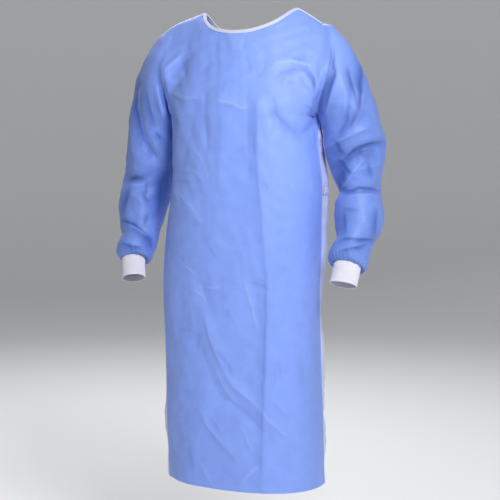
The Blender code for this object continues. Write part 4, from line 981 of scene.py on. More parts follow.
def crease_heights(points, normals, piece, azimuth_deg, mirrored):
    """Fine creases of one side: sharp lines with soft flanks, one flank steeper than the other.

    Returns their heights in metres, how much each point lies on a ridge line with a painted highlight, and how much
    painted shade it gets in a valley fold.
    """
    seen = plate(points, azimuth_deg)
    wander = np.stack([noise(points, 0.035, 3), noise(points + 0.5, 0.035, 4)], axis=-1)
    seen = seen + wander * 0.0022
    total, pale, dark = (np.zeros(points.shape[:-1]) for _ in range(3))
    for name, height, width, pale_highlight, path in CREASES:
        if name != piece:
            continue
        path = np.array(path, float) / 1000
        if mirrored:
            path = path * np.array([-1.0, 1.0])
        near = np.abs(seen - path.mean(axis=0)).max(axis=-1) < np.ptp(path, axis=0).max() + 0.06
        away, lit, share = along_path(seen[near], path)
        spread = SHADED_FLANK + (LIT_FLANK - SHADED_FLANK) * ease(0.5 + lit * math.copysign(1, height) / 0.004)
        flank = away / (width / 1000 * spread * CREASE_WIDTHS[piece])
        taper = np.sin(np.pi * np.clip(share, 0.02, 0.98)) ** 0.6
        total[near] += CREASE_GAINS[piece] * height / 1000 * np.exp(-flank) * taper
        # Ridge creases flagged in the table get a painted highlight along their line
        if pale_highlight:
            pale[near] = np.maximum(pale[near], np.exp(-((away / HIGHLIGHT_WIDTH) ** 2)) * taper)
        # Valley creases also paint shade into the colour along their lines, deeper for deeper creases
        if height < 0:
            depth = min(1.0, -height / DARK_DEPTH)
            shade = np.exp(-((away / (spread * DARK_SPREAD * width / 1000)) ** DARK_EDGE))
            dark[near] = np.maximum(dark[near], depth * shade * taper)
    seen_from = facing(normals, azimuth_deg)
    return total * seen_from, pale * seen_from, dark * seen_from


def edge_eases(shape, still, reach_rows, reach_columns):
    """1 over most of a grid, falling to 0 at its still edges."""
    rows, cols = shape
    i, j = np.arange(rows)[:, None], np.arange(cols)[None]
    away = {"first_row": i, "last_row": rows - 1 - i, "first_column": j, "last_column": cols - 1 - j}
    held = np.ones(shape)
    for edge in still:
        reach = reach_rows if edge.endswith("row") else reach_columns
        held = held * ease(away[edge] / reach)
    return held


def folded(grid, piece, still, reach, round_the_end=False):
    """A grid with the solid's own broad folds pressed in, its still edges left where they are."""
    normals = normals_of(grid, round_the_end)
    heights = fold_heights(grid, normals, piece, FRONT_FOLDS, VIEW_AZIMUTH_DEG)
    heights += fold_heights(grid, normals, piece, BACK_FOLDS, VIEW_AZIMUTH_DEG + 180)
    gain = SLEEVE_FOLD_GAIN if piece.startswith("sleeve") else 1.0
    heights = gain * heights * edge_eases(grid.shape[:2], still, *reach)
    return grid + normals * heights[..., None]


def edge_distances(grid, edge):
    """How far each point lies from one edge of its grid, along the cloth."""
    axis = 0 if edge.endswith("row") else 1
    steps = np.linalg.norm(np.diff(grid, axis=axis), axis=2)
    reach = np.cumsum(np.pad(steps, [(1, 0), (0, 0)] if axis == 0 else [(0, 0), (1, 0)]), axis=axis)
    if edge.startswith("last"):
        reach = (reach[-1:] if axis == 0 else reach[:, -1:]) - reach
    return reach


def beside_seam(away, along, seed):
    """Heights beside a seam: the cloth rises from its stitches in a soft roll with small puckers."""
    roll = SEAM_ROLL * (1 - np.exp(-((away / 0.004) ** 2))) * np.exp(-away / 0.016)
    drift = noise(np.stack([along, 0 * along, 0 * along + seed], axis=-1), 0.05, seed)
    waves = np.sin(2 * np.pi * (along / SEAM_PUCKER_PITCH + 0.8 * drift))
    size = SEAM_PUCKER * (0.6 + 0.4 * drift)
    return roll + size * waves * (1 - np.exp(-((away / 0.004) ** 2))) * np.exp(-away / 0.012)


def seam_heights(grid, edges):
    """Heights beside all sewn edges of a panel."""
    total = np.zeros(grid.shape[:2])
    for seed, edge in enumerate(edges):
        crossing = "first_column" if edge.endswith("row") else "first_row"
        total += beside_seam(edge_distances(grid, edge), edge_distances(grid, crossing), 11 + seed)
    return total


def relief(grid, normals, piece, still, reach):
    """Fine heights of a piece of cloth, and the marks that its material reads."""
    row = next(row for row in CRUMPLES if row[0] == piece)
    _, creases_of, broad, broad_size, fine, fine_size, along, seed = row
    ahead, pale_highlight, dark = crease_heights(grid, normals, creases_of, VIEW_AZIMUTH_DEG, False)
    behind, pale_highlight_behind, dark_behind = crease_heights(grid, normals, creases_of, VIEW_AZIMUTH_DEG + 180, True)
    crumples = broad * facets(grid, broad_size, seed, along, BROAD_WAVES)
    crumples += fine * facets(grid, fine_size, seed + 50, along, FINE_WAVES)
    held = edge_eases(grid.shape[:2], still, *reach)
    heights = (ahead + behind + crumples) * held
    # The marks that the colour reads: a painted highlight along the ridge creases and painted shade in the valley
    # folds
    marks = {"crease": np.clip(pale_highlight + pale_highlight_behind, 0, 1) * held, "painted_hollow_shade": np.clip(dark + dark_behind, 0, 1)}
    return heights, marks


def armhole_dent(shares):
    """How far back each place of an armhole sinks between sleeve and body, by its share."""
    ahead = ease((shares - 0.04) / 0.10) * ease((0.38 - shares) / 0.20)
    behind = ease((0.95 - shares) / 0.12) * ease((shares - 0.53) / 0.14)
    return DENT_DEPTH * (ahead - 0.6 * behind)


def dented(grid, away, shares):
    """A grid drawn in along an armhole, fading out at a distance from it."""
    moved = grid.copy()
    moved[..., 1] += armhole_dent(shares) * np.exp(-((away / DENT_WIDTH) ** 2))
    return moved


def neck_patch(grid):
    """The slightly paler wedge below the neck, where the cloth behind shows through."""
    x, z = np.moveaxis(plate(grid, VIEW_AZIMUTH_DEG), -1, 0)
    share = (z - PATCH_BOTTOM) / (PATCH_TOP - PATCH_BOTTOM)
    half = PATCH_HALF_WIDTH * (0.35 + 0.65 * share)
    inside = ease((half - np.abs(x - PATCH_MIDDLE)) / 0.006 + 0.5) * ease(share / 0.1) * (grid[..., 1] < 0)
    return PATCH_STRENGTH * inside


def blurred(grid, sigma):
    """A grid averaged along its rows over about sigma columns, without flattening its curves."""
    reach = int(3 * sigma)
    weights = np.exp(-(np.arange(-reach, reach + 1) ** 2) / (2 * sigma**2))
    weights = weights / weights.sum()

    def once(values):
        ends = 2 * values[:, [0, -1]]
        before = ends[:, :1] - values[:, reach:0:-1]
        after = ends[:, 1:] - values[:, -2 : -reach - 2 : -1]
        wide = np.concatenate([before, values, after], axis=1)
        return sum(w * wide[:, k : k + values.shape[1]] for k, w in enumerate(weights))

    first = once(grid)
    return 2 * first - once(first)


def evened(grid, still):
    """A panel whose neck corners no longer print through the cloth below them."""
    away = edge_distances(grid, "last_row")
    share = ease(away / EVEN_REACH) * edge_eases(grid.shape[:2], still, 1.0, EVEN_COLUMNS)
    return grid + (blurred(grid, EVEN_COLUMNS) - grid) * share[..., None]


def panel(name, grid, still, sewn, hem_edge=None):
    """A body panel with its folds, creases and seams. Returns its grid and the marks on it."""
    reach = (EDGE_REACH["rows"], EDGE_REACH["columns"])
    piece = "front" if name == "gown_front" else "back"
    grid = folded(evened(grid, still), piece, still, reach)
    rising = np.concatenate([np.zeros(BODY_ROWS), yoke_steps() * 0.5])[:, None]
    rising = rising if piece == "front" else 1 - rising
    for edge in ("first_column", "last_column"):
        if edge in sewn:
            grid = dented(grid, edge_distances(grid, edge), rising)
    normals = normals_of(grid)
    heights, marks = relief(grid, normals, name, still, (FINE_REACH, FINE_REACH))
    if name == "gown_front":
        marks["crease"] = np.maximum(marks["crease"], neck_patch(grid))
    on_neck = np.ones(grid.shape[:2])
    neck = grid[-1, :, 2] * 0
    start = 0 if name != "gown_back_left" else SHOULDER_COLUMNS + 1
    stop = grid.shape[1] if name != "gown_back_right" else grid.shape[1] - SHOULDER_COLUMNS - 1
    if name == "gown_front":
        start, stop = SHOULDER_COLUMNS + 1, grid.shape[1] - SHOULDER_COLUMNS - 1
    neck[start:stop] = 1
    away = edge_distances(grid, "last_row")
    on_neck -= neck[None] * (1 - ease(away / 0.030))
    seams = seam_heights(grid, sewn)
    below = edge_distances(grid, "first_row")
    hem = HEM_STEP * ease((HEM_WIDTH - below) / 0.003)
    if hem_edge is not None:
        hem = np.maximum(hem, HEM_STEP * ease((HEM_WIDTH - edge_distances(grid, hem_edge)) / 0.003))
    heights = (heights + seams) * on_neck + hem * ease(away / 0.03)
    return grid + normals * heights[..., None], marks


def relaxed(grid, times):
    """A sleeve whose crowded rows near the cuff are spread apart, so that none fold over."""
    grid = grid.copy()
    share = ease((np.arange(len(grid)) - RELAX_ROW) / RELAX_FADE_ROWS)[1:-1, None, None]
    for _ in range(times):
        grid[1:-1] += 0.5 * share * ((grid[:-2] + grid[2:]) / 2 - grid[1:-1])
    return grid


def share_armhole_directions(side, shares, sleeve, front, back):
    """Gives sleeve and body one direction of thickness along the seam where they meet."""
    steps = yoke_steps()
    edge = -1 if side == "left" else 0
    back_edge = 0 if side == "left" else -1
    for j, share in enumerate(shares):
        row = BODY_ROWS + int(np.argmin(abs(steps - min(share, 1 - share) * 2)))
        meeting = []
        if share <= 0.5 + 1e-9:
            meeting.append(front[row : row + 1, edge])
        if share >= 0.5 - 1e-9 or share < 1e-9:
            meeting.append(back[row : row + 1, back_edge])
        together = unit(sum(meeting))
        both = sleeve[0:1, j].copy()
        mitre(together, both)
        sleeve[0:1, j] = both
        for view in meeting:
            view[:] = together


def sleeve_relief(grid, normals, side, shares):
    """Fine heights of a sleeve: creases, its armhole and underarm seams, and gathers at the cuff."""
    still = ("first_row", "last_row")
    heights, marks = relief(grid, normals, f"sleeve_{side}", still, (FINE_REACH, FINE_REACH))
    down = edge_distances(grid, "first_row")
    up = edge_distances(grid, "last_row")
    heights *= ease((up - PLAIN_END) / PLAIN_FADE)
    steps = np.linalg.norm(np.diff(np.concatenate([grid, grid[:, :1]], axis=1), axis=1), axis=2)
    around = np.cumsum(np.pad(steps[:, :-1], [(0, 0), (1, 0)]), axis=1)
    whole = steps.sum(axis=1, keepdims=True)
    from_seam = np.abs(around - around[:, [int(np.argmin(shares))]])
    from_seam = np.minimum(from_seam, whole - from_seam)
    held = ease(up / 0.012) * ease(down / 0.010)
    heights += beside_seam(down, around, 31) * ease(up / 0.02)
    heights += beside_seam(from_seam, down, 37) * held
    turn = around / whole
    gathers = np.sin(2 * np.pi * (turn * SLEEVE_GATHERS + 1.6 * noise(grid, 0.04, 41)))
    heights += SLEEVE_GATHER * gathers * np.exp(-up / 0.022) * ease(up / 0.007)
    ahead = ease((shares - 0.08) / 0.12) * ease((0.36 - shares) / 0.18)
    heights += SLEEVE_BULGE * ahead[None] * np.exp(-(((down - 0.022) / 0.013) ** 2))
    # Painted light: the shaded sleeve colour turns back to the body's lit blue towards the top of the shoulder
    top = ease((0.30 - np.abs(shares - 0.5)) / 0.20)
    marks["shoulder"] = top[None] * ease((LIT_SHOULDER_REACH - down) / LIT_SHOULDER_REACH)
    return heights, marks


def build_cloth(finish):
    """The front, both backs and the sleeves. Returns the body's grids and normals by name."""
    grids, normals, marks = {}, {}, {}
    for name, side, grid, still, sewn, free in (
        ("gown_front", "front", front_grid(), ("first_column", "last_column", "last_row"),
         ("first_column", "last_column", "last_row"), None),
        ("gown_back_left", "left", back_grid("left"), ("first_column", "last_row"),
         ("first_column", "last_row"), "last_column"),
        ("gown_back_right", "right", back_grid("right"), ("last_column", "last_row"),
         ("last_column", "last_row"), "first_column"),
    ):
        grids[side], marks[side] = panel(name, grid, still, sewn, free)
        normals[side] = normals_of(grids[side])
    rows = BODY_ROWS + 1
    seam = SHOULDER_COLUMNS + 1
    mitre(normals["front"][:rows, -1], normals["left"][:rows, 0])
    mitre(normals["front"][:rows, 0], normals["right"][:rows, -1])
    mitre(normals["front"][-1, -seam:], normals["left"][-1, :seam][::-1])
    mitre(normals["front"][-1, :seam], normals["right"][-1, -seam:][::-1])
    pieces = {}
    half = SEAM_GAP / 2
    for side in ("left", "right"):
        grid, shares = sleeve_grid(side)
        name = f"sleeve_{side}"
        grid = folded(grid, name, ("first_row", "last_row"), (EDGE_REACH["sleeve_rows"], 1.0), True)
        grid = dented(grid, edge_distances(grid, "first_row"), shares[None])
        grid = relaxed(grid, RELAX_TIMES)
        out = normals_of(grid, round_the_end=True)
        heights, sleeve_marks = sleeve_relief(grid, out, side, shares)
        grid = relaxed(grid + out * heights[..., None], RELAX_AGAIN)
        out = normals_of(grid, round_the_end=True)
        share_armhole_directions(side, shares, out, normals["front"], normals[side])
        trim(grid, "first_row", half)
        trim(grid, "last_row", half)
        grids[name], normals[name] = grid, out
        faces = (finish["sleeve_shaded_cloth"], finish["inside_cloth"])
        pieces[name] = shell(f"{name}_cloth", grid, out, SHOWN_CLOTH, faces, True, sleeve_marks)
    for side, edges in (("front", ("first_column", "last_column")), ("left", ("first_column",)),
                        ("right", ("last_column",))):
        for edge in (*edges, "last_row"):
            trim(grids[side], edge, half)
    for side, name, outside in (("front", "gown_front", "blue_cloth"), ("left", "gown_back_left", "pale_cloth"),
                                ("right", "gown_back_right", "pale_cloth")):
        faces = (finish[outside], finish["inside_cloth"])
        pieces[name] = shell(f"{name}_cloth", grids[side], normals[side], SHOWN_CLOTH, faces, False, marks[side])
    return grids, normals, pieces


def build_cuffs(finish):
    """Ribbed knit cuffs, pulled in a little at the wrist, with a rolled lower edge."""
    pieces = {}
    for side in ("left", "right"):
        count = CUFF_RIBS * RIB_COLUMNS
        turns = np.linspace(0, 2 * math.pi, count, endpoint=False)
        grid = cuff_grid(side, turns)
        if tube_faces_inwards(grid):
            grid = grid[:, ::-1].copy()
        normals = normals_of(grid, round_the_end=True)
        rib = np.abs(np.sin(np.pi * np.arange(count) / RIB_COLUMNS + 0.3))
        way = np.linspace(0, 1, grid.shape[0])[:, None]
        depth = RIB_DEPTH * (rib[None] ** 0.7 - 1)
        depth = depth + 0.0004 * noise(grid, 0.018, 51) - 0.0005
        depth = depth - 0.0006 * ease((way - 0.96) / 0.04)
        grid = grid + normals * depth[..., None]
        normals = normals_of(grid, round_the_end=True)
        trim(grid, "first_row", SEAM_GAP)
        name = f"cuff_{side}"
        # Painted shade in the channels between the ribs
        marks = {"painted_hollow_shade": np.repeat((1 - rib[None]) ** 2, grid.shape[0], axis=0)}
        pieces[name] = shell(f"{name}_knit", grid, normals, SHOWN_KNIT, (finish["white_knit"],) * 2, True, marks)
    return pieces


def surface(grids):
    """The outsides of some panels as one searchable surface."""
    vertices, faces = [], []
    for grid in grids:
        rows, cols = grid.shape[:2]
        start = len(vertices)
        vertices += grid.reshape(-1, 3).tolist()
        i, j = np.meshgrid(np.arange(rows - 1), np.arange(cols - 1), indexing="ij")
        a = (start + i * cols + j).ravel()
        faces += np.stack([a, a + 1, a + 1 + cols], axis=1).tolist()
        faces += np.stack([a, a + 1 + cols, a + cols], axis=1).tolist()
    return BVHTree.FromPolygons(vertices, faces)


def settle(tree, points):
    """The nearest places on a surface to some points, and the surface's directions there."""
    found = [tree.find_nearest(tuple(p))[:2] for p in points]
    return np.array([tuple(f[0]) for f in found]), np.array([tuple(f[1]) for f in found])


def swept(name, rings, materials, face_materials=None):
    """A closed band through rings whose second half of points runs back beside the first half."""
    stations, corners = rings.shape[:2]
    i, j = np.meshgrid(np.arange(stations - 1), np.arange(corners), indexing="ij")
    i, j = i.ravel(), j.ravel()
    k = (j + 1) % corners
    faces = np.stack([i * corners + j, i * corners + k, (i + 1) * corners + k, (i + 1) * corners + j], axis=1)
    along = np.concatenate([[0], np.cumsum(np.linalg.norm(np.diff(rings[:, 0], axis=0), axis=1))])
    loop = np.concatenate([rings, rings[:, :1]], axis=1)
    around = np.concatenate([[0], np.cumsum(np.linalg.norm(np.diff(loop, axis=1), axis=2).mean(axis=0))])
    uvs = np.stack([along[i], around[j], along[i], around[j + 1], along[i + 1], around[j + 1],
                    along[i + 1], around[j]], axis=1).reshape(-1, 4, 2)
    half = corners // 2
    j = np.arange(half - 1)
    first = np.stack([corners - 1 - j, corners - 2 - j, j + 1, j], axis=1)
    last = (stations - 1) * corners + first[:, ::-1]
    faces = np.concatenate([faces, first, last])
    uvs = np.concatenate([uvs, np.zeros((2 * len(first), 4, 2))])
    points = rings.reshape(-1, 3)
    a, b, c, d = (points[faces[:, n]] for n in range(4))
    volume = (np.cross(a, b) * c).sum() + (np.cross(a, c) * d).sum()
    if volume < 0:
        faces, uvs = faces[:, ::-1], uvs[:, ::-1]
    return new_piece(name, points, faces.tolist(), uvs, materials)


def band_stations(grids, normals):
    """The neck's edge as a row of places, each with its directions and, on a seam, its lower end."""
    n = SHOULDER_COLUMNS
    runs = (
        ("left", range(grids["left"].shape[1] - 1, n, -1)),
        ("front", range(grids["front"].shape[1] - 2 - n, n, -1)),
        ("right", range(BACK_NECK_COLUMNS - 1, -1, -1)),
    )
    seams = (("left", n, n - 1), ("front", n, n - 1), None)
    places = []
    for (name, cols), seam in zip(runs, seams):
        places += [(grids[name][-1, j], normals[name][-1, j], None) for j in cols]
        if seam:
            side, at, toward = seam
            edge = grids[side][-1]
            places.append((edge[at], normals[side][-1, at], unit(edge[toward] - edge[at])))
    return places


def build_binding(grids, normals, finish):
    """The band folded over the neck's edge, open where the back panels overlap."""
    places = band_stations(grids, normals)
    edge = np.array([p[0] for p in places])
    out = np.array([p[1] for p in places])
    tangent = unit(np.gradient(edge, axis=0))
    rise = unit(np.cross(tangent, out))
    tree = surface([grids[name][-24:] for name in ("front", "left", "right")])
    levels = []
    for share in BINDING_SHARES:
        wanted = edge - rise * BINDING_WIDTH * share
        for k, place in enumerate(places):
            if place[2] is not None:
                wanted[k] = edge[k] + place[2] * BINDING_WIDTH * share
        low, low_out = settle(tree, wanted)
        for k, place in enumerate(places):
            if place[2] is not None:
                low_out[k] = out[k]
        levels.append((low, low_out))
    soft_edge = 0.00012 * noise(edge, 0.03, 61)[:, None]
    over = LYING_GAP + BINDING_CLOTH + soft_edge
    tall = SHOWN_CLOTH + 2 * LYING_GAP
    middle = edge - out * SHOWN_CLOTH / 2
    front = [low + way * (over if share < 1 else over * 0.72) for share, (low, way) in zip(BINDING_SHARES, levels)]
    back = [low - way * (SHOWN_CLOTH + over) for low, way in levels]
    arc = [
        middle + (out * math.cos(turn) + rise * math.sin(turn)) * (tall / 2 + BINDING_CLOTH + soft_edge)
        for turn in np.radians([10, 40, 90, 140, 170])
    ]
    inner_front = [low + way * LYING_GAP * 0.6 for low, way in levels]
    inner_back = [low - way * (SHOWN_CLOTH + LYING_GAP * 0.6) for low, way in levels]
    inner_arc = [
        middle + (out * math.cos(turn) + rise * math.sin(turn)) * tall / 2
        for turn in np.radians([10, 40, 90, 140, 170])
    ]
    ring = front[::-1] + arc + back + inner_back[::-1] + inner_arc[::-1] + inner_front
    rings = np.stack(ring, axis=1)
    piece = swept("neck_binding_band", rings, (finish["white_tape"],))
    return piece, (levels[-2][0] + levels[-2][1] * (LYING_GAP + BINDING_CLOTH), levels[-2][1])


def on_panel(grid, panel_shares, share, height):
    """The place on a panel's outside at a share of its way round and a height."""
    column_at = float(np.interp(share, panel_shares, np.arange(grid.shape[1])))
    j = min(int(column_at), grid.shape[1] - 2)
    line = grid[:, j] + (grid[:, j + 1] - grid[:, j]) * (column_at - j)
    return np.array([np.interp(height, line[:, 2], line[:, axis]) for axis in range(3)])


def build_tape(name, grid, panel_shares, rows, width, stations, finish):
    """A woven tape that lies on a back panel along a path and stands off it where it must.

    Returns the piece, the middle line of its outside and the directions there.
    """
    keys = np.linspace(0, 1, len(rows))
    path = columns(PATH_COLUMNS, rows, PATH_COLUMNS)
    shares, heights, lifts = cubic(keys, path, np.linspace(0, 1, stations)).T
    low, high = heights.min() - 0.05, heights.max() + 0.05
    level = grid[:, :, 2].mean(axis=1)
    some = grid[(level > low) & (level < high)]
    tree = surface([some])
    middle = np.array([on_panel(grid, panel_shares, a, b) for a, b in zip(shares, heights)])
    middle, out = settle(tree, middle)
    smooth = np.ones(9) / 9
    out = unit(np.stack([np.convolve(np.pad(out[:, k], 4, mode="edge"), smooth, "valid") for k in range(3)], axis=1))
    side = unit(np.cross(out, np.gradient(middle, axis=0)))
    edges = [settle(tree, middle + side * width * way)[0] for way in (0.5, -0.5)]
    lift = (TIE_LIFT + np.maximum(lifts, 0) + TIE_CLOTH)[:, None]
    lines = []
    for share in TAPE_SHARES:
        at = 0.5 + share
        lines.append(edges[0] * at + edges[1] * (1 - at) + out * lift)
    lack = np.zeros(stations)
    for line in lines:
        place, direction = settle(tree, line - out * TIE_CLOTH)
        gap = ((line - out * TIE_CLOTH - place) * direction).sum(-1)
        lack = np.maximum(lack, 0.0003 - gap)
    lack = np.convolve(np.pad(lack, 4, mode="edge"), smooth, "valid")
    wave = 0.0003 * noise(middle, 0.03, 71)
    lines = [line + out * (lack + wave)[:, None] for line in lines]
    thin = 0.5 * (1 - (2 * np.abs(np.array(TAPE_SHARES))) ** 6)
    top = [line - out * TIE_CLOTH * (0.5 - t) for line, t in zip(lines, thin)]
    bottom = [line - out * TIE_CLOTH * (0.5 + t) for line, t in zip(lines, thin)]
    rings = np.stack(top + bottom[::-1], axis=1)
    piece = swept(name, rings, (finish["white_tape"],))
    return piece, lines[len(lines) // 2], out


def loop_of_tape(place, axes, sizes, section, count=28):
    """Rings of a flattened tube round a closed loop: sizes of the loop and of its section."""
    across, out, rise = axes
    turns = np.linspace(0, 2 * math.pi, count + 1)
    c, s = soft(np.cos(turns), 0.8), soft(np.sin(turns), 0.8)
    path = place + np.outer(c * sizes[0], across) + np.outer(s * sizes[1], rise)
    ahead = unit(np.gradient(path, axis=0))
    ahead[0] = ahead[-1] = unit(ahead[0] + ahead[-1])
    side = unit(np.cross(ahead, out))
    angles = np.linspace(0, 2 * math.pi, 12, endpoint=False)
    a, b = soft(np.cos(angles), 0.7) * section[0], soft(np.sin(angles), 0.7) * section[1]
    rings = path[:, None] + side[:, None] * b[None, :, None] + out[None, None] * a[None, :, None]
    return rings


def build_knot(place, out, tie, finish):
    """The tied knot: two drawn-in loops and a wrap across them, on the outer tie."""
    across = unit(np.cross(out, np.array([0.0, 0.0, 1.0])))
    rise = np.cross(across, out)
    wide, tall, thick = np.array(KNOT_SIZE) / 2
    parts = [
        (place - across * wide * 0.50, (across, out, rise), (wide * 0.30, tall * 0.55), (thick * 0.62, 0.0032)),
        (place + across * wide * 0.50, (across, out, rise), (wide * 0.30, tall * 0.55), (thick * 0.62, 0.0032)),
        (place, (out, across, rise), (thick * 0.66, tall * 0.80), (0.0052, 0.0013)),
    ]
    vertices, faces, uvs = [], [], []
    for centre, axes, sizes, section in parts:
        rings = loop_of_tape(centre, axes, sizes, section)[:-1]
        rings = rings + 0.0003 * noise(rings, 0.004, 81)[..., None] * out
        start = sum(len(v) for v in vertices)
        rows, cols = rings.shape[:2]
        i, j = np.meshgrid(np.arange(rows), np.arange(cols), indexing="ij")
        i, j = i.ravel(), j.ravel()
        k, m = (j + 1) % cols, (i + 1) % rows
        quads = np.stack([i * cols + j, i * cols + k, m * cols + k, m * cols + j], axis=1)
        points = rings.reshape(-1, 3)
        a, b, c, d = (points[quads[:, n]] - centre for n in range(4))
        if (np.cross(a, b) * c).sum() + (np.cross(a, c) * d).sum() < 0:
            quads = quads[:, ::-1]
        vertices.append(points)
        faces.append(quads + start)
        uv = np.stack([i * 0.0015, j * 0.001, i * 0.0015, (j + 1) * 0.001, (i + 1) * 0.0015, (j + 1) * 0.001,
                       (i + 1) * 0.0015, j * 0.001], axis=1).reshape(-1, 4, 2)
        uvs.append(uv)
    vertices = np.concatenate(vertices) + out * KNOT_SIZE[2] * 2
    for _ in range(6):
        gap = np.linalg.norm(vertices - settle(tie, vertices)[0], axis=1).min()
        vertices = vertices - out * (gap - KNOT_GAP)
    faces = np.concatenate(faces).tolist()
    return new_piece("waist_knot_tape", vertices, faces, np.concatenate(uvs), (finish["white_tape"],))


def stitches(name, runs, finish):
    """Rows of single stitches. A run is a line of points, the directions out of it, and a pitch."""
    vertices, faces = [], []
    for line, out, pitch in runs:
        lengths = np.concatenate([[0], np.cumsum(np.linalg.norm(np.diff(line, axis=0), axis=1))])
        starts = np.arange(0, lengths[-1] - pitch, pitch)
        for begin in starts:
            at = np.array([begin + pitch * share for share in (0.10, 0.30, 0.70, 0.90)])
            spots = np.stack([np.interp(at, lengths, line[:, k]) for k in range(3)], axis=1)
            away = unit(np.array([np.interp(begin, lengths, out[:, k]) for k in range(3)]))
            side = unit(np.cross(spots[-1] - spots[0], away))
            first = len(vertices)
            vertices.append(spots[0] - away * THREAD)
            for spot in spots[1:3]:
                vertices += [spot + side * THREAD, spot + away * THREAD, spot - side * THREAD, spot - away * THREAD]
            vertices.append(spots[3] - away * THREAD)
            for j in range(4):
                k = (j + 1) % 4
                faces.append((first, first + 1 + j, first + 1 + k))
                faces.append((first + 1 + j, first + 5 + j, first + 5 + k, first + 1 + k))
                faces.append((first + 5 + j, first + 9, first + 5 + k))
    return new_piece(name, np.array(vertices), faces, None, (finish["thread"],))


def line_inside(grid, normals, edge, away):
    """A line on a panel at a distance from one edge, and the directions out of the cloth there."""
    reach = edge_distances(grid, edge)
    if edge.endswith("row"):
        reach, grid, normals = reach.T, grid.transpose(1, 0, 2), normals.transpose(1, 0, 2)
    if edge.startswith("last"):
        reach, grid, normals = reach[:, ::-1], grid[:, ::-1], normals[:, ::-1]
    place, out = [], []
    for i in range(len(grid)):
        place.append([np.interp(away, reach[i], grid[i, :, k]) for k in range(3)])
        out.append([np.interp(away, reach[i], normals[i, :, k]) for k in range(3)])
    return np.array(place), unit(np.array(out))


def build_stitches(grids, normals, binding_line, tape_lines, finish):
    """The sewing that shows: hems, the front's side seams, the backs' free edges, the sleeves' armhole seams and the
    neck's band.
    """
    pieces = {}
    lines = {side: line_inside(grids[side], normals[side], "first_row", HEM_WIDTH) for side in ("front", "left", "right")}
    seams = {
        "front": [line_inside(grids["front"], normals["front"], edge, 0.003) for edge in ("first_column", "last_column")],
        "left": [line_inside(grids["left"], normals["left"], "last_column", HEM_WIDTH)],
        "right": [line_inside(grids["right"], normals["right"], "first_column", HEM_WIDTH)],
    }
    for side, name in (("front", "gown_front"), ("left", "gown_back_left"), ("right", "gown_back_right")):
        runs = [(*lines[side], HEM_PITCH)] + [(*line, HEM_PITCH) for line in seams[side]]
        pieces[name] = [stitches(f"{name}_stitches", runs, finish)]
    for side in ("left", "right"):
        grid, out = grids[f"sleeve_{side}"], normals[f"sleeve_{side}"]
        line = line_inside(grid, out, "first_row", 0.003)
        closed = [np.concatenate([part, part[:1]]) for part in line]
        pieces[f"sleeve_{side}"] = [stitches(f"sleeve_{side}_stitches", [(*closed, HEM_PITCH)], finish)]
    pieces["neck_binding"] = [stitches("neck_binding_stitches", [(*binding_line, BINDING_PITCH)], finish)]
    return pieces


def new_material(name):
    material = bpy.data.materials.new(name)
    material.use_nodes = True
    return material, material.node_tree, material.node_tree.nodes["Principled BSDF"]


def add(tree, kind, inputs=None, **settings):
    """A node with some settings and inputs. An input is a value or another node's output."""
    node = tree.nodes.new(kind)
    for name, value in settings.items():
        setattr(node, name, value)
    for name, value in (inputs or {}).items():
        if isinstance(value, bpy.types.NodeSocket):
            tree.links.new(value, node.inputs[name])
        else:
            node.inputs[name].default_value = value
    return node


def blend_colours(tree, share, first, second, kind="MIX"):
    node = add(tree, "ShaderNodeMix", data_type="RGBA", blend_type=kind)
    for index, value in ((0, share), (6, first), (7, second)):
        if isinstance(value, bpy.types.NodeSocket):
            tree.links.new(value, node.inputs[index])
        else:
            node.inputs[index].default_value = value
    return node.outputs[2]


def ranged(tree, value, low, high, to_low, to_high):
    node = add(tree, "ShaderNodeMapRange", {"Value": value})
    for name, number in (("From Min", low), ("From Max", high), ("To Min", to_low), ("To Max", to_high)):
        node.inputs[name].default_value = number
    return node.outputs["Result"]


def maths(tree, operation, first, second):
    node = add(tree, "ShaderNodeMath", operation=operation)
    for index, value in ((0, first), (1, second)):
        if isinstance(value, bpy.types.NodeSocket):
            tree.links.new(value, node.inputs[index])
        else:
            node.inputs[index].default_value = value
    return node.outputs[0]


def noise_map(tree, vector, size, detail=3.0, roughness=0.55, stretch=None):
    """A noise texture with features about size metres wide, stretched along one axis if asked."""
    if stretch is not None:
        vector = add(tree, "ShaderNodeMapping", {"Vector": vector, "Scale": stretch}).outputs["Vector"]
    inputs = {"Vector": vector, "Scale": 1 / size, "Detail": detail, "Roughness": roughness}
    return add(tree, "ShaderNodeTexNoise", inputs).outputs["Fac"]


def bumps(tree, shader, heights):
    """Chains bump nodes. Heights are pairs of a texture's output and its height in metres."""
    normal = None
    for height, distance in heights:
        inputs = {"Height": height, "Distance": distance, "Strength": 1.0}
        if normal is not None:
            inputs["Normal"] = normal
        normal = add(tree, "ShaderNodeBump", inputs).outputs["Normal"]
    tree.links.new(normal, shader.inputs["Normal"])


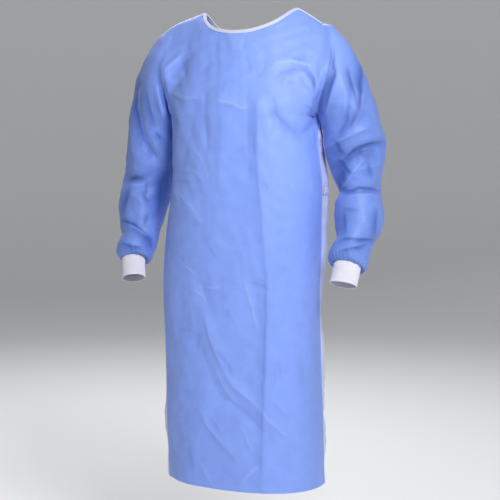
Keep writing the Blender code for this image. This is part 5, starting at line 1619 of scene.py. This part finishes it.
def laminate(name, colour, shade_colour, pale_highlight, roughness, crinkle, fold_shade, lit_shoulder_colour=None):
    """A spun laminate: short pressed fibres, bonding dots and soft crinkles, with a painted highlight along the ridge
    creases, painted shade in the valley folds and a paler patch below the neck.
    """
    material, tree, shader = new_material(name)
    uv = add(tree, "ShaderNodeUVMap", uv_map="UVMap").outputs["UV"]
    place = add(tree, "ShaderNodeTexCoord").outputs["Object"]
    crease = add(tree, "ShaderNodeAttribute", attribute_name="crease").outputs["Fac"]
    painted_hollow_shade = add(tree, "ShaderNodeAttribute", attribute_name="painted_hollow_shade").outputs["Fac"]
    mottle = noise_map(tree, place, 0.030, 4.0)
    fibre = noise_map(tree, uv, 0.0016, 4.0, 0.65, (1.0, 0.22, 1.0))
    cross_fibre = noise_map(tree, uv, 0.0019, 3.0, 0.6, (0.25, 1.0, 1.0))
    crinkles = noise_map(tree, place, 0.011, 4.0, 0.6)
    ridges = maths(tree, "ABSOLUTE", maths(tree, "SUBTRACT", crinkles, 0.5), 0.0)
    dots = add(tree, "ShaderNodeTexVoronoi", {"Vector": uv, "Scale": 1 / 0.0018, "Randomness": 0.12})
    dot = ranged(tree, dots.outputs["Distance"], 0.12, 0.34, 0.0, 1.0)
    if lit_shoulder_colour is not None:
        # Painted light: lighter towards the shoulder, back to the body's blue
        shoulder = add(tree, "ShaderNodeAttribute", attribute_name="shoulder").outputs["Fac"]
        colour = blend_colours(tree, shoulder, colour, lit_shoulder_colour)
    # Painted highlight: paler along the ridge creases, and the paler patch below the neck
    highlight_and_patch_share = maths(tree, "MULTIPLY", crease, 0.55)
    # Painted shade: the colour darkens towards its shade colour along the valley folds
    shade = blend_colours(tree, maths(tree, "MULTIPLY", painted_hollow_shade, fold_shade), colour, shade_colour)
    shade = blend_colours(tree, highlight_and_patch_share, shade, pale_highlight)
    tone = ranged(tree, mottle, 0.3, 0.7, 0.955, 1.03)
    tone = maths(tree, "MULTIPLY", tone, ranged(tree, fibre, 0.25, 0.75, 0.965, 1.03))
    tone = maths(tree, "MULTIPLY", tone, ranged(tree, dot, 0.0, 1.0, 0.97, 1.0))
    grey = add(tree, "ShaderNodeCombineColor", {"Red": tone, "Green": tone, "Blue": tone}).outputs["Color"]
    shade = blend_colours(tree, 1.0, shade, grey, "MULTIPLY")
    tree.links.new(shade, shader.inputs["Base Color"])
    rough = ranged(tree, fibre, 0.3, 0.7, roughness - 0.04, roughness + 0.05)
    tree.links.new(rough, shader.inputs["Roughness"])
    shader.inputs["Sheen Weight"].default_value = 0.12
    shader.inputs["Sheen Roughness"].default_value = 0.45
    shader.inputs["Specular IOR Level"].default_value = 0.35
    heights = [(ridges, crinkle * 2), (fibre, 0.00005), (cross_fibre, 0.00004), (dot, 0.00004)]
    bumps(tree, shader, heights)
    return material


def rib_knit(name, colour, shade_colour):
    """Knitted rib: columns of small loops, with painted shade in the channels between the ribs and between the loops.
    """
    material, tree, shader = new_material(name)
    uv = add(tree, "ShaderNodeUVMap", uv_map="UVMap").outputs["UV"]
    painted_hollow_shade = add(tree, "ShaderNodeAttribute", attribute_name="painted_hollow_shade").outputs["Fac"]
    loops = add(tree, "ShaderNodeTexWave", {"Vector": uv, "Scale": 20 / 0.0012 / 6.2832, "Distortion": 1.4},
                wave_type="BANDS", bands_direction="Y").outputs["Fac"]
    fuzz = noise_map(tree, uv, 0.0006, 4.0, 0.7)
    shade = blend_colours(tree, maths(tree, "MULTIPLY", painted_hollow_shade, 0.55), colour, shade_colour)
    # Painted shade between the loops
    shade = blend_colours(tree, ranged(tree, loops, 0.0, 0.6, 0.16, 0.0), shade, shade_colour)
    tree.links.new(shade, shader.inputs["Base Color"])
    shader.inputs["Roughness"].default_value = 0.85
    shader.inputs["Sheen Weight"].default_value = 0.30
    shader.inputs["Specular IOR Level"].default_value = 0.25
    bumps(tree, shader, [(loops, 0.00022), (fuzz, 0.00010)])
    return material


def woven_tape(name, colour, shade_colour):
    """A narrow twill tape: slanted ribs of thread and a fine cross weave, with painted shade in the grooves between
    the ribs and random darker flecks.
    """
    material, tree, shader = new_material(name)
    uv = add(tree, "ShaderNodeUVMap", uv_map="UVMap").outputs["UV"]
    slanted = add(tree, "ShaderNodeMapping", {"Vector": uv, "Rotation": (0, 0, math.radians(38))}).outputs["Vector"]
    twill = add(tree, "ShaderNodeTexWave", {"Vector": slanted, "Scale": 20 / 0.0011 / 6.2832, "Distortion": 0.4},
                wave_type="BANDS", bands_direction="X").outputs["Fac"]
    threads = add(tree, "ShaderNodeTexWave", {"Vector": uv, "Scale": 20 / 0.0007 / 6.2832, "Distortion": 0.3},
                  wave_type="BANDS", bands_direction="Y").outputs["Fac"]
    fuzz = noise_map(tree, uv, 0.0008, 3.0)
    # Painted shade in the grooves between the twill ribs, then random darker flecks
    shade = blend_colours(tree, ranged(tree, twill, 0.0, 0.7, 0.22, 0.0), colour, shade_colour)
    shade = blend_colours(tree, ranged(tree, fuzz, 0.3, 0.7, 0.10, 0.0), shade, shade_colour)
    tree.links.new(shade, shader.inputs["Base Color"])
    shader.inputs["Roughness"].default_value = 0.72
    shader.inputs["Sheen Weight"].default_value = 0.20
    shader.inputs["Specular IOR Level"].default_value = 0.30
    bumps(tree, shader, [(twill, 0.00012), (threads, 0.00006), (fuzz, 0.00005)])
    return material


def spun_thread(name, colour):
    """Sewing thread: two plies that catch the light in fine slanted bands."""
    material, tree, shader = new_material(name)
    place = add(tree, "ShaderNodeTexCoord").outputs["Object"]
    plies = add(tree, "ShaderNodeTexWave", {"Vector": place, "Scale": 20 / 0.0008 / 6.2832, "Distortion": 0.5},
                wave_type="BANDS", bands_direction="DIAGONAL").outputs["Fac"]
    darker = tuple(c * 0.8 for c in colour[:3]) + (1.0,)
    tree.links.new(blend_colours(tree, plies, darker, colour), shader.inputs["Base Color"])
    shader.inputs["Roughness"].default_value = 0.5
    bumps(tree, shader, [(plies, 0.00004)])
    return material


def make_finishes():
    """Every material of the gown, by the name that the pieces ask for."""
    return {
        "blue_cloth": laminate("blue_laminate", BLUE, BLUE_PAINTED_SHADE, BLUE_HIGHLIGHT_AND_PATCH, 0.50, 0.00016, 0.28),
        # The sleeves: the same laminate painted shaded, and lit again at the shoulder
        "sleeve_shaded_cloth": laminate("shaded_sleeve_laminate", SLEEVE_SHADED_BLUE, BLUE_PAINTED_SHADE, SLEEVE_SHADED_HIGHLIGHT, 0.50, 0.00020,
                                 0.95, BLUE),
        "pale_cloth": laminate("pale_spunbond", PALE, PALE_PAINTED_SHADE, PALE_HIGHLIGHT_AND_PATCH, 0.60, 0.00024, 0.40),
        "inside_cloth": laminate("inner_face", INSIDE, INSIDE_PAINTED_SHADE, PALE_HIGHLIGHT_AND_PATCH, 0.62, 0.00016, 0.40),
        "white_knit": rib_knit("white_rib_knit", KNIT_WHITE, KNIT_PAINTED_SHADE),
        "white_tape": woven_tape("white_twill_tape", TAPE_WHITE, TAPE_SHADE_AND_FLECK),
        "thread": spun_thread("sewing_thread", THREAD_BLUE),
    }


def area_light(name, azimuth_deg, elevation_deg, distance, size, power, aim):
    """A square soft light that faces the object from a direction."""
    turn, rise = math.radians(azimuth_deg), math.radians(elevation_deg)
    way = Vector((math.sin(turn) * math.cos(rise), -math.cos(turn) * math.cos(rise), math.sin(rise)))
    light = bpy.data.lights.new(name, "AREA")
    light.shape = "SQUARE"
    light.size = size
    light.energy = power
    obj = bpy.data.objects.new(name, light)
    obj.location = Vector(aim) + way * distance
    obj.rotation_euler = (-way).to_track_quat("-Z", "Y").to_euler()
    bpy.context.scene.collection.objects.link(obj)


def build_studio():
    """A round pale floor that curves up into a low backdrop all round, soft lights, and the camera."""
    bend = np.linspace(0, math.pi / 2, 13)
    radii = np.concatenate([[0.05], BACKDROP_AWAY - BACKDROP_BEND * (1 - np.sin(bend)), [BACKDROP_AWAY]])
    levels = np.concatenate([[0.0], BACKDROP_BEND * (1 - np.cos(bend)), [BACKDROP_HEIGHT]]) + FLOOR_HEIGHT
    rounds = np.linspace(0, 2 * math.pi, 96, endpoint=False)
    vertices = np.stack([
        radii[:, None] * np.cos(rounds),
        radii[:, None] * np.sin(rounds),
        np.repeat(levels[:, None], len(rounds), axis=1),
    ], axis=-1).reshape(-1, 3)
    faces = [tuple(range(len(rounds)))]
    for i in range(len(radii) - 1):
        for j in range(len(rounds)):
            k = (j + 1) % len(rounds)
            first, second = i * len(rounds), (i + 1) * len(rounds)
            faces.append((first + j, second + j, second + k, first + k))
    turn = math.radians(VIEW_AZIMUTH_DEG)
    material, tree, shader = new_material("pale_floor")
    shader.inputs["Base Color"].default_value = FLOOR_COLOUR
    shader.inputs["Roughness"].default_value = 0.9
    new_piece("studio_floor", np.array(vertices), faces, None, (material,))
    for row in LIGHTS:
        area_light(*row, AIM)
    world = bpy.data.worlds.new("soft_world")
    world.use_nodes = True
    world.node_tree.nodes["Background"].inputs["Color"].default_value = WORLD_COLOUR
    world.node_tree.nodes["Background"].inputs["Strength"].default_value = WORLD_STRENGTH
    bpy.context.scene.world = world
    camera = bpy.data.cameras.new("camera")
    camera.lens = CAMERA_LENS
    camera.sensor_width = 36.0
    camera.clip_end = 60.0
    obj = bpy.data.objects.new("camera", camera)
    eye = Vector((math.sin(turn) * VIEW_DISTANCE, -math.cos(turn) * VIEW_DISTANCE, VIEW_HEIGHT))
    obj.location = eye
    obj.rotation_euler = (Vector(AIM) - eye).to_track_quat("-Z", "Y").to_euler()
    bpy.context.scene.collection.objects.link(obj)
    bpy.context.scene.camera = obj
    bpy.context.scene.view_settings.view_transform = "Standard"


def declare(pieces, extras):
    """Hangs each piece and its extras on the root, and hides the solid that it stands for."""
    for name, width, length, area, held, slot in CUTS:
        piece = pieces[name]
        going = extras.get(name, [])
        for each in [piece, *going]:
            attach(each, "root")
        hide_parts(name)


def main():
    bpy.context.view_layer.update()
    finish = make_finishes()
    grids, normals, pieces = build_cloth(finish)
    pieces.update(build_cuffs(finish))
    pieces["neck_binding"], binding_line = build_binding(grids, normals, finish)
    shares = {side: back_shares(side) for side in ("left", "right")}
    tapes = {}
    for name, side, rows, width, stations in (
        ("waist_tie_left", "left", LEFT_TIE, TIE_WIDTH, TIE_STATIONS),
        ("waist_tie_right", "right", RIGHT_TIE, TIE_WIDTH, TIE_STATIONS),
        ("neck_tab", "right", NECK_TAB, TAB_WIDTH, TAB_STATIONS),
    ):
        pieces[name], *tapes[name] = build_tape(f"{name}_tape", grids[side], shares[side], rows, width, stations, finish)
    near = grids["right"][100:260]
    place, out = settle(surface([near]), [on_panel(grids["right"], shares["right"], *KNOT_PLACE)])
    line, way = tapes["waist_tie_right"]
    side = unit(np.cross(way, np.gradient(line, axis=0))) * TIE_WIDTH / 2
    tie = surface([np.stack([line - side, line, line + side], axis=1)])
    pieces["waist_knot"] = build_knot(place[0], out[0], tie, finish)
    extras = build_stitches(grids, normals, binding_line, tapes, finish)
    declare(pieces, extras)
    build_studio()


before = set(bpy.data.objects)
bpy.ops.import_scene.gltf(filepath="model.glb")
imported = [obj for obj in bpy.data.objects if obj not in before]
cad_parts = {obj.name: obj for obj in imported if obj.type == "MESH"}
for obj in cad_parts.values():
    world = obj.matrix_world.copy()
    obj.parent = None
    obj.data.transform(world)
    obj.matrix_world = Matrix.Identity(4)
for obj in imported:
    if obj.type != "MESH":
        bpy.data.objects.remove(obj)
main()
